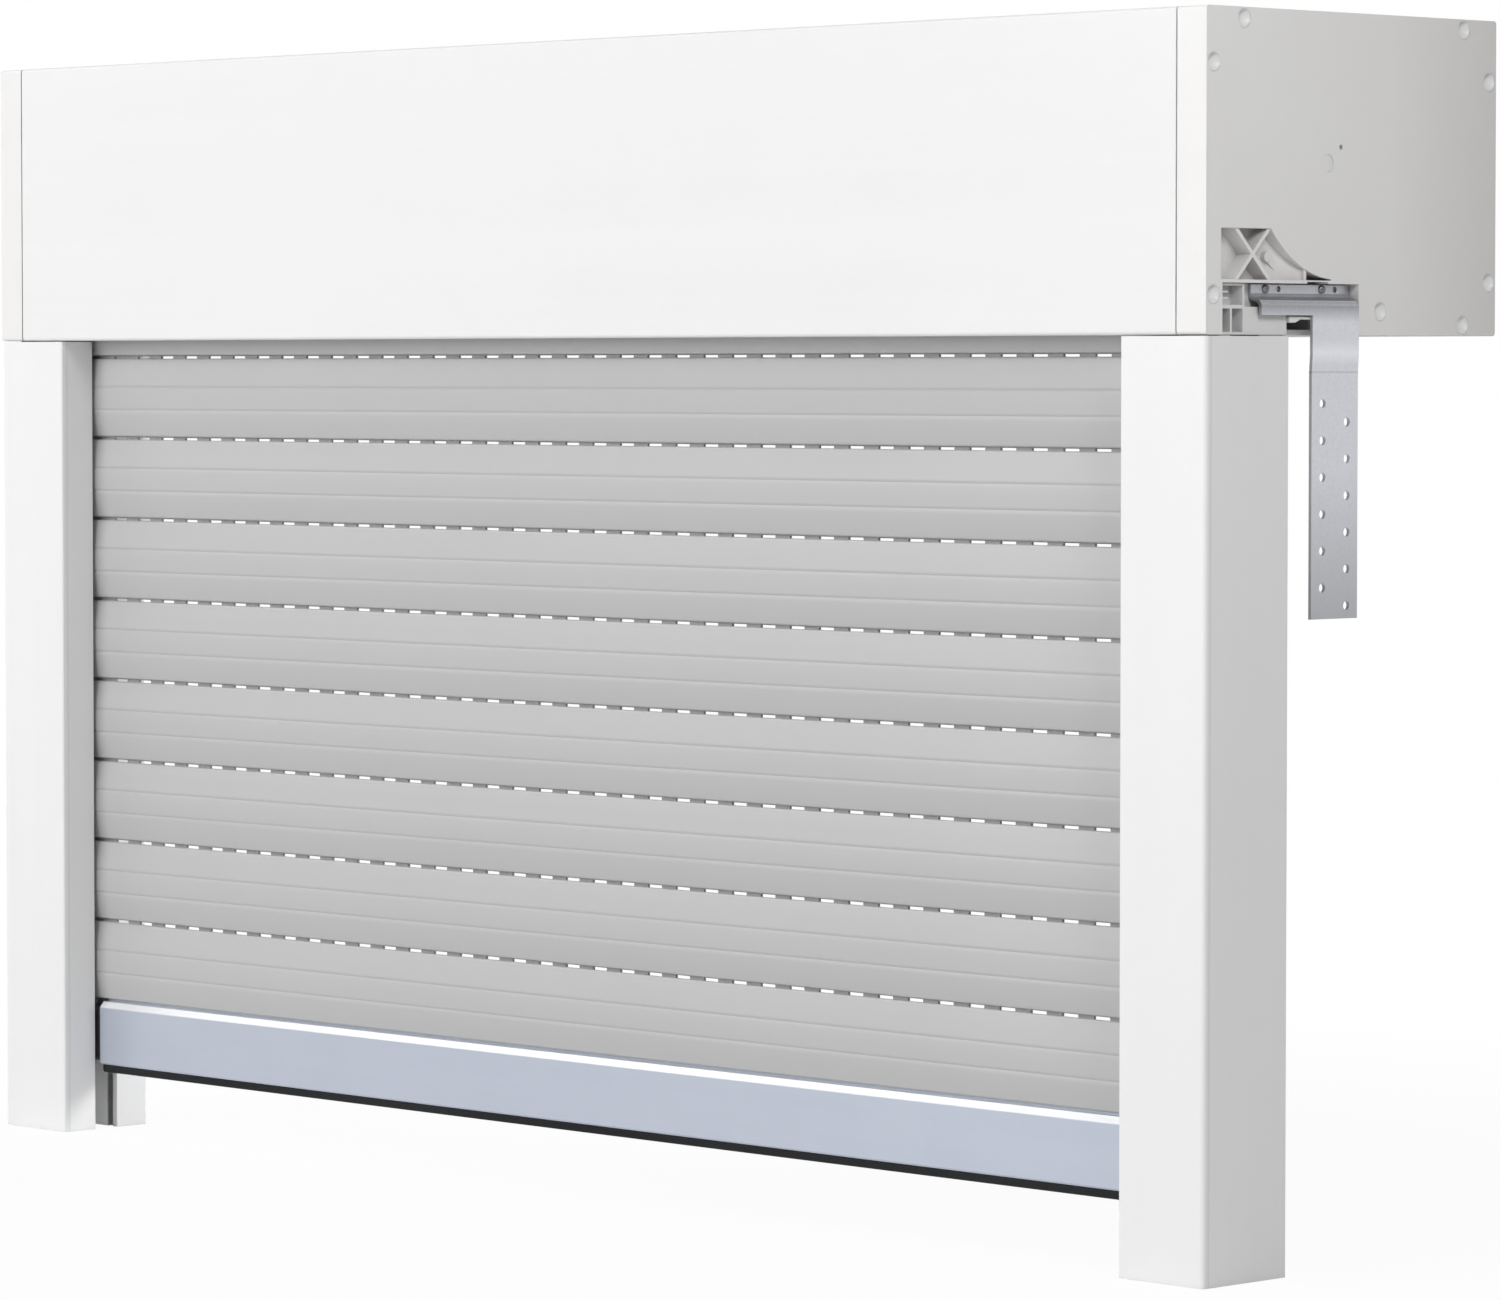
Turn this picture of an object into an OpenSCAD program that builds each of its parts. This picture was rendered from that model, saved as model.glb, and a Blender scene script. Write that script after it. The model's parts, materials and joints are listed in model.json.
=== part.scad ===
// Exterior roller shutter: top box, two guide rails, slatted curtain, winding shaft with tubular motor.
// Frame: X across the window, Y from the street side to the room side, Z up.
// The origin is the middle of the underside of the box, which stands on the window frame.
// Inside the modules y counts from the front of the box and z from its underside.

/* [Box] */
// Width over the two end caps
box_w = 1050; // [900:1:1400]
// Height of the box
box_h = 175; // [170:1:200]
// Depth of the box from the street side to the room side
box_d = 240; // [230:1:280]
// Thickness of the hollow panels
panel_t = 12; // [11:0.5:14]
// Wall thickness of the hollow panels
panel_wall = 1.8; // [1.2:0.1:2.2]
// Wanted distance between the webs in a panel
web_pitch = 36; // [25:1:60]
// Rounding of the long outer edges
edge_r = 2; // [1:0.25:3]
// Thickness of the tongue that joins two panels
tongue_t = 3; // [2:0.25:4]
// Length of that tongue
tongue_d = 4; // [3:0.25:5]
// Lower edge of the inspection opening
cover_low = 38; // [36:1:50]
// Upper edge of the inspection opening
cover_high = 132; // [118:1:134]
// Height of the lips that the cover rests against
cover_lip = 6; // [4:0.5:9]
// Thickness of the insulation slab on the cover
slab_t = 22; // [15:1:30]
// Height of the lip under the front panel
front_lip_h = 8; // [6:0.5:10]

/* [End caps] */
// Width of the cap rim seen from the front
cap_w = 21; // [19:0.5:26]
// Wall thickness of the cap
cap_wall = 3; // [2.5:0.25:3.5]
// Open seam between cap rim and panels
cap_seam = 1; // [0.4:0.1:1.5]
// Thickness of the collar that reaches into the box
collar_wall = 2.5; // [2:0.25:3.5]
// Reach of that collar beyond the rim
collar_reach = 14; // [8:1:15]
// Shank radius of the closing pins
pin_r = 2; // [1.5:0.1:2.2]
// Radius of the pin dimple on the outer face
pin_head_r = 5.5; // [4:0.25:5.5]
// Length of the pins inside the panels
pin_reach = 24; // [15:1:40]
// Distance of the front top pin from the front
top_pin_front = 30; // [25:1:40]
// Distance of the rear top and bottom pins from the room side
rear_pin_in = 28; // [24:1:40]
// Distance of the upper front pin from the top
front_pin_top = 30; // [25:1:40]
// Height of the lower front pin
front_pin_low = 21.5; // [18:0.5:24]
// Distance of the upper rear pin from the top
rear_pin_top = 34; // [26:1:36]
// Height of the lower rear pin
rear_pin_low = 29.5; // [24:0.5:30]
// Distance of the middle bottom pin from the front
bottom_pin_front = 142; // [132:1:160]
// Height of the middle bottom pin
bottom_pin_up = 13; // [11:0.5:14]
// Distance of the ribbed pocket from the front
pocket_front = 12; // [10:0.5:14]
// Lower edge of the ribbed pocket
pocket_low = 29.6; // [29.6:0.1:32]
// Upper edge of the ribbed pocket
pocket_high = 57; // [54:0.5:60]
// Depth of the ribbed pocket
pocket_deep = 11; // [8:0.5:14]
// Radius of the hollow curve that bounds the pocket
pocket_arc_r = 68.5; // [66:0.5:71]
// Distance of the centre of that curve from the front
pocket_arc_y = 106.5; // [105:0.5:108]
// End of the pocket's pointed tail
pocket_tail = 101; // [98:0.5:103]
// Place of the rib in front of the tail
pocket_rib_y = 80.5; // [78:0.5:83]
// Start of the pocket's sloping floor
pocket_slope_y = 46; // [42:0.5:52]
// Thickness of the ribs
rib_t = 2.2; // [1.4:0.1:2.4]
// Front end of the crossed ribs
rib_near = 24; // [22:0.5:26]
// Rear end of the crossed ribs
rib_far = 52.5; // [51:0.5:55]

/* [Guide inlets] */
// Distance of the inlet block from the front
inlet_front = 13.5; // [13.5:0.25:14.5]
// Height of the inlet block
inlet_h = 27.5; // [26:0.25:27.5]
// Distance from the front at which the outer face steps back
inlet_step_y = 33; // [31:0.5:35]
// Height of the ledge behind that step
inlet_ledge = 15; // [13:0.25:15.5]
// Length of the plugs that enter the rails
plug_len = 18; // [10:1:30]

/* [Guide rails] */
// Width of a rail
rail_w = 62; // [56:1:66]
// Depth of a rail
rail_d = 67; // [66:0.5:67.5]
// Length of a rail
rail_len = 510; // [485:1:700]
// Wall thickness of the rail
rail_wall = 2.2; // [1.8:0.1:2.6]
// Depth of the front chamber
slot_front = 25; // [24:0.25:26]
// Width of the curtain slot
slot_w = 18; // [17:0.25:19]
// Depth of the curtain slot
slot_deep = 32; // [29:0.5:34]
// Rounding of the outer front edge
rail_edge_r = 3; // [2:0.25:4]
// Open joint between rail and box
joint_gap = 0.6; // [0.2:0.1:0.9]
// Width of the brush groove
groove_w = 5; // [4:0.25:6]
// Depth of the brush groove
groove_d = 3; // [2:0.25:3.5]
// Thickness of the bristles
bristle_t = 3; // [2:0.25:3.5]

/* [Curtain] */
// Distance from slat to slat when the curtain hangs
slat_pitch = 52; // [51:0.25:53]
// Greatest thickness of a slat
slat_t = 14; // [13:0.25:14.5]
// How much thinner a slat is at its edges, per side
slat_draw = 2.5; // [1.5:0.1:2.6]
// Open height between two hanging slats
slat_gap = 2; // [1.5:0.1:2.5]
// Fall of the top edge towards the back
top_fall = 2.5; // [2:0.1:3]
// Wall thickness of a slat
slat_wall = 1.2; // [0.9:0.1:1.5]
// Height of the lower scored line on the front
score_low = 17; // [15:0.5:19]
// Height of the upper scored line on the front
score_high = 31.5; // [29:0.5:34]
// Depth of the scored lines
score_deep = 0.35; // [0.2:0.05:0.5]
// Bottom edge of the first slat below the box
first_line = 9.5; // [8:0.25:11]
// Reach of the slats into the rails
slat_reach = 22; // [18:0.5:26]
// Length of a light slot
light_len = 12; // [8:0.5:14]
// Distance from light slot to light slot
light_pitch = 24; // [20:0.5:30]
// Thickness of the neck with the light slots
neck_t = 1.6; // [1.2:0.1:1.8]
// Width of the head on the neck
head_w = 5.8; // [5:0.1:6]
// Thickness of the head
head_t = 2; // [1.5:0.1:2.5]
// Thickness of the lips that hold the head
lip_t = 2; // [1.6:0.1:2.4]

/* [Bottom bar] */
// Height of the bar
bar_h = 40.5; // [35:0.5:42]
// Distance of the bar's front from the middle of the curtain
bar_front = 8; // [7.5:0.25:9]
// Distance of the bar's back from the middle of the curtain
bar_back = 6.5; // [6:0.25:7]
// Height of the sloping top edge
bar_slope = 3.75; // [3:0.25:6]
// Wall thickness of the bar
bar_wall = 1.5; // [1.2:0.1:2]
// Gap between bar and rails
bar_end_gap = 4; // [3:0.25:6]
// Height of the rubber seal under the bar
seal_h = 5.5; // [4:0.25:6]
// Width of the rubber seal
seal_w = 11; // [9:0.25:12]
// Thickness of the end gliders
glider_t = 12; // [10:0.25:13]

/* [Winding shaft] */
// Distance of the axis from the front
axis_y = 98; // [96:0.5:104]
// Height of the axis
axis_z = 93; // [92:0.5:96]
// Width across flats of the octagonal shaft
shaft_af = 60; // [56:0.5:62]
// Wall thickness of the shaft
shaft_wall = 1; // [0.8:0.1:1.4]
// Width of a suspension strap
strap_w = 22; // [16:1:30]
// Distance from strap to strap
strap_pitch = 300; // [240:5:320]
// Thickness of a strap
strap_t = 1; // [0.6:0.1:1.2]
// Radius of the axle pin
axle_r = 6; // [5:0.25:6.5]
// Outer radius of the ball bearing
bearing_r = 14; // [13.5:0.25:15]
// Width of the ball bearing
bearing_w = 8; // [7:0.5:9]
// Radius of the bearing balls
ball_r = 2.4; // [2:0.1:2.5]
// Radius of the motor tube
motor_r = 22.5; // [20:0.25:23]
// Length of the motor tube
motor_len = 420; // [300:5:430]

/* [Wall anchors] */
// Thickness of the sheet
sheet_t = 2; // [1.5:0.1:2.4]
// Width of the strap
anchor_w = 38; // [36:0.5:40]
// Distance of the strap from the front
anchor_y = 84; // [82:0.5:86]
// Length of the strap below the box
anchor_drop = 154; // [152:1:190]
// Radius of the strap holes
anchor_hole_r = 2.5; // [2:0.1:3.5]
// Distance from hole to hole in a column
anchor_pitch = 20; // [16:0.5:20]
// Distance between the two columns of holes
anchor_columns = 20; // [17:0.5:22]
// Number of holes in a column
anchor_holes = 6; // [4:1:6]
// Depth of the highest hole below the box
anchor_first = 37; // [34:0.5:40]
// Distance of the flange from the front
flange_y = 42.5; // [41:0.5:44]
// Length of the flange
flange_len = 79.5; // [78:0.5:81]
// Distance of the front screw from the front
flange_screw = 54; // [50:0.5:57]
// Distance from screw to screw
flange_screw_pitch = 46; // [44:0.5:48]
// Distance from a screw to the spare hole beside it
spare_hole = 11; // [8:0.5:11]
// Thread radius of the anchor screws
anchor_screw_r = 1.5; // [1.2:0.1:1.6]
// Head radius of the anchor screws
anchor_head_r = 2.3; // [2:0.05:2.3]

/* [Fits] */
// Clearance of parts that stay put
fit = 0.2; // [0.1:0.05:0.25]
// Clearance of parts that move
run = 0.35; // [0.3:0.05:0.4]

/* [Hidden] */
$fn = 64;
eps = 0.01;
over = 1;
soft_r = 1;

// Levels and reference planes
cap_out = box_w / 2;
cap_in = cap_out - cap_w;
panel_x = cap_in - cap_seam;
plate_in = cap_out - cap_wall;
rail_in = cap_out - rail_w;
side_room = 1;
lip_x = rail_in - side_room;
curtain_y = slot_front + slot_w / 2;

// Panel joints
port_wall = 1.2;
port_r = panel_t / 2 - port_wall;
tongue_low = (panel_t - tongue_t) / 2;
top_tongue = box_h - panel_t + tongue_low;
front_room = 2;
sill_room = 4;
front_lip_y = slot_front - front_room;
sill_front = slot_front + slot_w + sill_room;
sill_back = rail_d + side_room;
upstand_h = 10;
upstand_t = 3;
lip_d = 3;
cover_y = box_d - panel_t + lip_d + fit;
cover_rib_t = 2.2;
cover_rib_h = 3;
cover_rib_in = 5;
cover_rib_y = box_d - panel_t - cover_rib_h;
cover_rib_x = cap_in - collar_reach - cover_rib_in;

// Pins of the caps: y and z of each
cap_pins = [[panel_t / 2, box_h - front_pin_top], [panel_t / 2, front_pin_low],
  [top_pin_front, box_h - panel_t / 2], [box_d - rear_pin_in, box_h - panel_t / 2],
  [box_d - panel_t / 2, box_h - rear_pin_top], [box_d - panel_t / 2, rear_pin_low],
  [box_d - rear_pin_in, panel_t / 2], [bottom_pin_front, bottom_pin_up]];
pin_cone = 5;
pin_room = 0.2;
pin_rim = 0.4;
pin_dish = 2.5;
pin_top_r = pin_head_r - pin_room - fit;
dish_half = pin_top_r - pin_rim;
dish_r = (dish_half * dish_half + pin_dish * pin_dish) / (2 * pin_dish);

// Pocket and recess of the caps
cap_gap = 0.3;
back_wall = 2;
pocket_wall = pocket_low - inlet_h - cap_gap;
pocket_x = cap_out - pocket_deep;
pocket_tip = 0.4;
pocket_arc_z = pocket_low + pocket_tip + pocket_arc_r;
pocket_shallow = 2.5;
rib_drop = 0.8;
knob = [56, 42];
knob_r = 2.8;
knob_h = 5;
knob_trail = [68, 33];
trail_w = 4;
trail_h = 4.2;
recess_deep = 8;
recess_wall = 3;
recess_x = cap_out - recess_deep;
recess_back = max(flange_y + flange_len, anchor_y + anchor_w) + back_wall;
recess_low = 10;
gap_deep = 4;
gap_roof = 0.8;
inlet_back = rail_d;
notch_y = 72;
notch_run = 4;
notch_low = 6.7;
notch_high = 8.5;
notch_back = recess_back - notch_run;
boss_x = cap_out - 13;
boss_r = 36;
boss_wall = 6;
hub_r = 10;
bracket_bore = 9;
collar_room = 3;
screw_boss_r = 4.5;
mark_r = 5;
mark_deep = 0.6;
vent_r = 1.4;
vent_deep = 4;
vent_at = [11, 9];

// Cells of the guide inlets
inlet_face = 2;
cell_deep = 9;
cell_wall = 1.5;
cell_floor = 16;
cell_roof = 1.2;
cell_top = 14;
cell_split = 8;
cell_rib_len = 6.5;
cell_rib_t = 1;
cell_ribs = [19, 22.5];
funnel_low = 6;
funnel_flare = 7;
plug_wall = 2;
plug_back = rail_d - rail_wall - run;
plug_hollow = [12, 14];
inlet_bore = 11;

// Rails and brushes
groove_in = 4.5;
pad_side = 4;
pad_floor = 2;
inner_edge_r = 1.5;
brush_strip = 1.4;
brush_lap = 0.1;
brush_short = 1;
brush_tip = (slot_w - slat_t) / 2 - run;

// Slat section
slat_h = slat_pitch - slat_gap;
slat_x = rail_in + slat_reach;
mouth_room = 1.4;
cave_room = 1;
cave_rise = 5.5;
mouth_w = neck_t + mouth_room;
cave_w = head_w + cave_room;
cave_top = lip_t + head_t + cave_rise;
head_low = slat_pitch + lip_t;
slat_edge = 1.4;
score_w = 1.8;
neck_sink = 0.7;
slot_sink = 0.24;
light_margin = 10;
light_n = floor((2 * (rail_in - light_margin) - light_len) / light_pitch) + 1;

// Bar section
bar_x = rail_in - bar_end_gap;
bar_slats = 8;
bar_lean = 0.8;
bar_top = -first_line - bar_slats * slat_pitch - slat_gap;
bar_z = bar_top - bar_h;
seal_root_w = 7;
seal_neck_w = 3.4;
seal_root_h = 2;
seal_lip = 1.5;
seal_r = 2;
seal_wall = 1.2;
glider_r = 2;
glider_low = 2;
glider_wall = 2;
glider_tongue = 18;
glider_room = 1;

// Shaft, plug, bearing and motor along the axis
shaft_r = shaft_af / 2;
oct = 1 / cos(180 / 8);
bracket_t = 4;
bracket_x = boss_x - bracket_t;
bracket_r = 33;
bracket_screw_r = 27;
cup_len = bearing_w + 4;
cup_wall = 5;
cup_root = 7;
bearing_back = 2;
bearing_x = bracket_x - bearing_back - bearing_w;
shaft_end = bracket_x - cup_len - 11;
axle_room = 3;
axle_tip = 1;
axle_collar = 2;
axle_collar_w = 2.5;
plug_in = 45;
plug_bed = 5;
plug_hole_r = 5;
plug_hole_at = 19;
plug_face = 4;
plug_flange = 3;
plug_rim = 1;
ring_t = 2.5;
race_in = axle_r + fit + ring_t;
race_out = bearing_r - ring_t;
ball_track = (race_in + race_out) / 2;
balls = 8;
head_len = 12;
head_r = 24.5;
head_back_r = 23;
head_hole_r = 3;
head_hole_deep = 8;
head_hole_at = [12, 13];
pad_r = 16;
pad_back_r = 18;
pad_t = 1;
square_w = 10;
crown_len = 20;
crown_in = 16;
stub_r = 6;
stub_len = 7;
stub_in = 12;
stub_bore = 14;
stub_square = 8;
stub_end = 34;
nose_len = 6;
nose_r = 6;
nose_back_r = 3;
wheel_near = 8;
wheel_far = 32;
wheel_hole_r = 5;
wheel_hole_at = 18;
wheel_hole_end = 14;
motor_gap = 4;
motor_start = bracket_x - head_len - crown_len - motor_gap;
motor_end = motor_start - motor_len;

// Screws
screw_r = 2;
bracket_screw_len = 8;
bracket_head_h = 2.4;
bracket_head_r = 3.8;
bracket_head_top = 3;
bracket_cross = [3.6, 0.8];
bracket_cross_deep = 1.4;
anchor_screw_len = 8;
anchor_head_rim = 0.8;
anchor_head_h = 1.8;
anchor_head_top = 1.4;
anchor_cross = [2.6, 0.7];

// Openings of the shaft for its straps
strap_slot = 5;
strap_slot_at = -shaft_r / 2.6;
strap_slot_room = 1;

// Straps: a hook behind the head of slat_1, a straight run and a bend over the next flat
hook_room = 0.3;
hook_rise = 1.2;
hook_y = curtain_y + head_w / 2 + fit + strap_t / 2 + hook_room;
hook_z = -first_line + head_low - fit - strap_t / 2;
hook_top = hook_z + head_t + hook_rise;
strap_r = shaft_r + run + strap_t / 2;
reach_y = axis_y - hook_y;
reach_z = axis_z - hook_top;
reach = sqrt(reach_y * reach_y + reach_z * reach_z);
strap_dir = atan2(reach_z, reach_y) + asin(strap_r / reach);
eighth = 45;
corner_a = strap_dir + 90 - eighth / 2;
corner_b = corner_a - eighth;
strap_corner_y = axis_y + strap_r * oct * cos(corner_a);
strap_corner_z = axis_z + strap_r * oct * sin(corner_a);
strap_end_y = axis_y + strap_r * oct * cos(corner_b);
strap_end_z = axis_z + strap_r * oct * sin(corner_b);

// Wall anchor: bends of the sheet in X and z
flange_low = 20.5;
flange_high = 27.2;
screw_drop = 2.4;
bend_run = 1.6;
flange_x = recess_x + sheet_t / 2;
band_x = cap_out + sheet_t / 2;
bend_low = 17.3;
band_bottom = 10.6;
joggle_top = -10.6;
joggle_low = -20;
joggle = 0.6;
flange_mid = flange_high - screw_drop;

module along_x(x0, x1) {
  translate([x0, 0, 0]) rotate([90, 0, 90]) linear_extrude(height = x1 - x0) children();
}

module along_y(y0, y1) {
  translate([0, y1, 0]) rotate([90, 0, 0]) linear_extrude(height = y1 - y0) children();
}

module along_z(z0, z1) {
  translate([0, 0, z0]) linear_extrude(height = z1 - z0) children();
}

module block(u0, v0, u1, v1) {
  translate([u0, v0]) square([u1 - u0, v1 - v0]);
}

module cone_x(x0, x1, y, z, r0, r1) {
  translate([x0, y, z]) rotate([0, 90, 0]) cylinder(h = x1 - x0, r1 = r0, r2 = r1);
}

module rod_x(x0, x1, y, z, r) {
  cone_x(x0, x1, y, z, r, r);
}

// Ring with a round section about the X axis
module ring_x(x, r, t) {
  translate([x, 0, 0]) rotate([0, 90, 0]) rotate_extrude() translate([r, 0]) circle(r = t);
}

module corner_cut(u, v, du, dv, r) {
  difference() {
    translate([du > 0 ? u - over : u - r, dv > 0 ? v - over : v - r]) square([r + over, r + over]);
    translate([u + du * r, v + dv * r]) circle(r = r);
  }
}

// Strip of sheet from one point to another, with a round bend at its start
module strip(a, b, t) {
  d = b - a;
  translate(a) rotate(atan2(d[1], d[0])) translate([0, -t / 2]) square([norm(d), t]);
  translate(a) circle(r = t / 2);
}

function unit(v) = v / norm(v);

// Left hand normal of the way from a to b
function side(a, b) = unit([a[1] - b[1], b[0] - a[0]]);

// Offset at point i of a bent line, per unit of thickness
function mitre(p, i) = let (n = len(p) - 1, s = side(p[max(i - 1, 0)], p[max(i, 1)]),
  t = side(p[min(i, n - 1)], p[min(i + 1, n)])) (s + t) / (1 + s * t);

// Sheet of thickness t along the points of a bent line that runs downwards
module bent_sheet(p, t) {
  n = len(p) - 1;
  left = [for (i = [0 : n]) p[i] - mitre(p, i) * t / 2];
  right = [for (i = [n : -1 : 0]) p[i] + mitre(p, i) * t / 2];
  polygon(concat(left, right));
}

module chambers_up(u0, u1, v0, v1) {
  n = max(1, round((v1 - v0) / web_pitch));
  h = (v1 - v0 - (n - 1) * panel_wall) / n;
  for (i = [0 : n - 1])
    block(u0, v0 + i * (h + panel_wall), u1, v0 + i * (h + panel_wall) + h);
}

module chambers_across(u0, u1, v0, v1) {
  n = max(1, round((u1 - u0) / web_pitch));
  w = (u1 - u0 - (n - 1) * panel_wall) / n;
  for (i = [0 : n - 1])
    block(u0 + i * (w + panel_wall), v0, u0 + i * (w + panel_wall) + w, v1);
}

module port(p) {
  translate(p) circle(r = port_r);
}

module port_bore(p) {
  translate(p) circle(r = pin_r + fit);
}

module octagon(r) {
  rotate(corner_a) circle(r = r * oct, $fn = 8);
}

// Slots of a cross recess, length and width given
module cross(c) {
  square(c, center = true);
  square([c[1], c[0]], center = true);
}

module in_place() {
  translate([0, -box_d / 2, 0]) children();
}

module on_axis() {
  translate([0, axis_y, axis_z]) children();
}

// Box panels

module front_panel_section() {
  difference() {
    union() {
      difference() {
        block(0, 0, panel_t, box_h);
        corner_cut(0, 0, 1, 1, edge_r);
        corner_cut(0, box_h, 1, -1, edge_r);
        chambers_up(panel_wall, panel_t - panel_wall, panel_wall, box_h - panel_t - panel_wall);
        block(panel_wall, box_h - panel_t, panel_t - tongue_d - fit - panel_wall, box_h - panel_wall);
      }
      port(cap_pins[0]);
      port(cap_pins[1]);
    }
    port_bore(cap_pins[0]);
    port_bore(cap_pins[1]);
    block(panel_t - tongue_d - fit, top_tongue - fit, panel_t + over, top_tongue + tongue_t + fit);
  }
}

module front_lip_section() {
  difference() {
    block(panel_t - eps, 0, front_lip_y, front_lip_h);
    corner_cut(front_lip_y, 0, -1, 1, soft_r);
    corner_cut(front_lip_y, front_lip_h, -1, -1, soft_r);
    block(panel_t + panel_wall, panel_wall, front_lip_y - panel_wall, front_lip_h - panel_wall);
  }
}

module front_panel() {
  color("white") in_place() union() {
    along_x(-panel_x, panel_x) front_panel_section();
    along_x(-lip_x, lip_x) front_lip_section();
  }
}

module top_panel() {
  color("white") in_place() along_x(-panel_x, panel_x) difference() {
    union() {
      difference() {
        block(panel_t, box_h - panel_t, box_d - panel_t, box_h);
        chambers_across(panel_t + panel_wall, box_d - panel_t - panel_wall,
          box_h - panel_t + panel_wall, box_h - panel_wall);
      }
      port(cap_pins[2]);
      port(cap_pins[3]);
      block(panel_t - tongue_d, top_tongue, panel_t + eps, top_tongue + tongue_t);
      block(box_d - panel_t - eps, top_tongue, box_d - panel_t + tongue_d, top_tongue + tongue_t);
    }
    port_bore(cap_pins[2]);
    port_bore(cap_pins[3]);
  }
}

module bottom_panel_section() {
  difference() {
    union() {
      difference() {
        block(sill_back, 0, box_d - panel_t, panel_t);
        chambers_across(sill_back + panel_wall, box_d - panel_t - panel_wall,
          panel_wall, panel_t - panel_wall);
      }
      port(cap_pins[6]);
      port(cap_pins[7]);
      block(cap_pins[7][0] - port_r, panel_t - panel_wall, cap_pins[7][0] + port_r, cap_pins[7][1]);
      block(box_d - panel_t - eps, tongue_low, box_d - panel_t + tongue_d, tongue_low + tongue_t);
    }
    port_bore(cap_pins[6]);
    port_bore(cap_pins[7]);
  }
}

module bottom_panel() {
  color("white") in_place() union() {
    along_x(-panel_x, panel_x) bottom_panel_section();
    along_x(-lip_x, lip_x) difference() {
      union() {
        block(sill_front, 0, sill_back + eps, panel_t);
        block(sill_front, panel_t - eps, sill_front + upstand_t, panel_t + upstand_h);
      }
      block(sill_front + upstand_t, panel_wall, sill_back - panel_wall, panel_t - panel_wall);
      corner_cut(sill_front, 0, 1, 1, edge_r);
    }
  }
}

module rear_panel_upper() {
  color("white") in_place() along_x(-panel_x, panel_x) difference() {
    union() {
      difference() {
        block(box_d - panel_t, cover_high, box_d, box_h);
        corner_cut(box_d, box_h, -1, -1, edge_r);
        chambers_up(box_d - panel_t + panel_wall, box_d - panel_wall, cover_high + panel_wall,
          box_h - panel_t - panel_wall);
      }
      port(cap_pins[4]);
      block(box_d - panel_t, cover_high - cover_lip, box_d - panel_t + lip_d, cover_high + eps);
    }
    port_bore(cap_pins[4]);
    block(box_d - panel_t - over, top_tongue - fit,
      box_d - panel_t + tongue_d + fit, top_tongue + tongue_t + fit);
  }
}

module rear_panel_lower() {
  color("white") in_place() along_x(-panel_x, panel_x) difference() {
    union() {
      difference() {
        block(box_d - panel_t, 0, box_d, cover_low);
        corner_cut(box_d, 0, -1, 1, edge_r);
        chambers_up(box_d - panel_t + panel_wall, box_d - panel_wall,
          panel_t + panel_wall, cover_low - panel_wall);
      }
      port(cap_pins[5]);
      block(box_d - panel_t, cover_low - eps, box_d - panel_t + lip_d, cover_low + cover_lip);
    }
    port_bore(cap_pins[5]);
    block(box_d - panel_t - over, tongue_low - fit,
      box_d - panel_t + tongue_d + fit, tongue_low + tongue_t + fit);
  }
}

module inspection_cover() {
  rib_high = cover_high - cover_lip - fit;
  rib_low = cover_low + cover_lip + fit;
  color("white") in_place() union() {
    along_x(-panel_x, panel_x) difference() {
      block(cover_y, cover_low + fit, box_d, cover_high - fit);
      corner_cut(box_d, cover_low + fit, -1, 1, soft_r);
      corner_cut(box_d, cover_high - fit, -1, -1, soft_r);
      chambers_up(cover_y + panel_wall, box_d - panel_wall,
        cover_low + fit + panel_wall, cover_high - fit - panel_wall);
    }
    along_x(-cover_rib_x, cover_rib_x) {
      block(cover_rib_y, rib_high - cover_rib_t, cover_y + eps, rib_high);
      block(cover_rib_y, rib_low, cover_y + eps, rib_low + cover_rib_t);
    }
  }
}

module cover_insulation() {
  low = cover_low + cover_lip + 2 * fit + cover_rib_t;
  high = cover_high - cover_lip - 2 * fit - cover_rib_t;
  color("lightgrey") in_place() along_x(-cover_rib_x, cover_rib_x) difference() {
    block(cover_y - slab_t, low, cover_y, high);
    corner_cut(cover_y - slab_t, low, 1, 1, edge_r);
    corner_cut(cover_y - slab_t, high, 1, -1, edge_r);
  }
}

// End caps

module cap_outline() {
  difference() {
    block(0, 0, box_d, box_h);
    corner_cut(0, 0, 1, 1, edge_r);
    corner_cut(0, box_h, 1, -1, edge_r);
    corner_cut(box_d, 0, -1, 1, edge_r);
    corner_cut(box_d, box_h, -1, -1, edge_r);
  }
}

// Outline of the ribbed pocket with its tail, larger by g all round
module pocket_outline(g) {
  difference() {
    block(pocket_front - g, pocket_low - g, pocket_tail + g, pocket_high + g);
    translate([pocket_arc_y, pocket_arc_z]) circle(r = pocket_arc_r - g);
  }
}

// Crossed ribs and the rib in front of the tail
module pocket_ribs() {
  top = pocket_high + over;
  low = pocket_low - over;
  intersection() {
    pocket_outline(eps);
    union() {
      strip([rib_near, top], [rib_far, low], rib_t);
      strip([rib_far, top], [rib_near, low], rib_t);
      block(pocket_rib_y - rib_t / 2, low, pocket_rib_y + rib_t / 2, top);
    }
  }
}

// Floor of the pocket that rises towards its tail
module pocket_floor() {
  intersection() {
    along_x(pocket_x - eps, cap_out) pocket_outline(eps);
    along_z(pocket_low - over, pocket_high + over) polygon([[pocket_x - over, pocket_slope_y],
      [pocket_x, pocket_slope_y], [cap_out - pocket_shallow, pocket_rib_y], [pocket_x - over, pocket_rib_y]]);
  }
}

// Opening in the lower edge of the cap, behind the guide inlet
module notch_outline() {
  polygon([[inlet_back, -over], [notch_back, -over], [notch_back, notch_high],
    [notch_y + notch_run, notch_high], [notch_y, notch_low], [inlet_back, notch_low]]);
}

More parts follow.
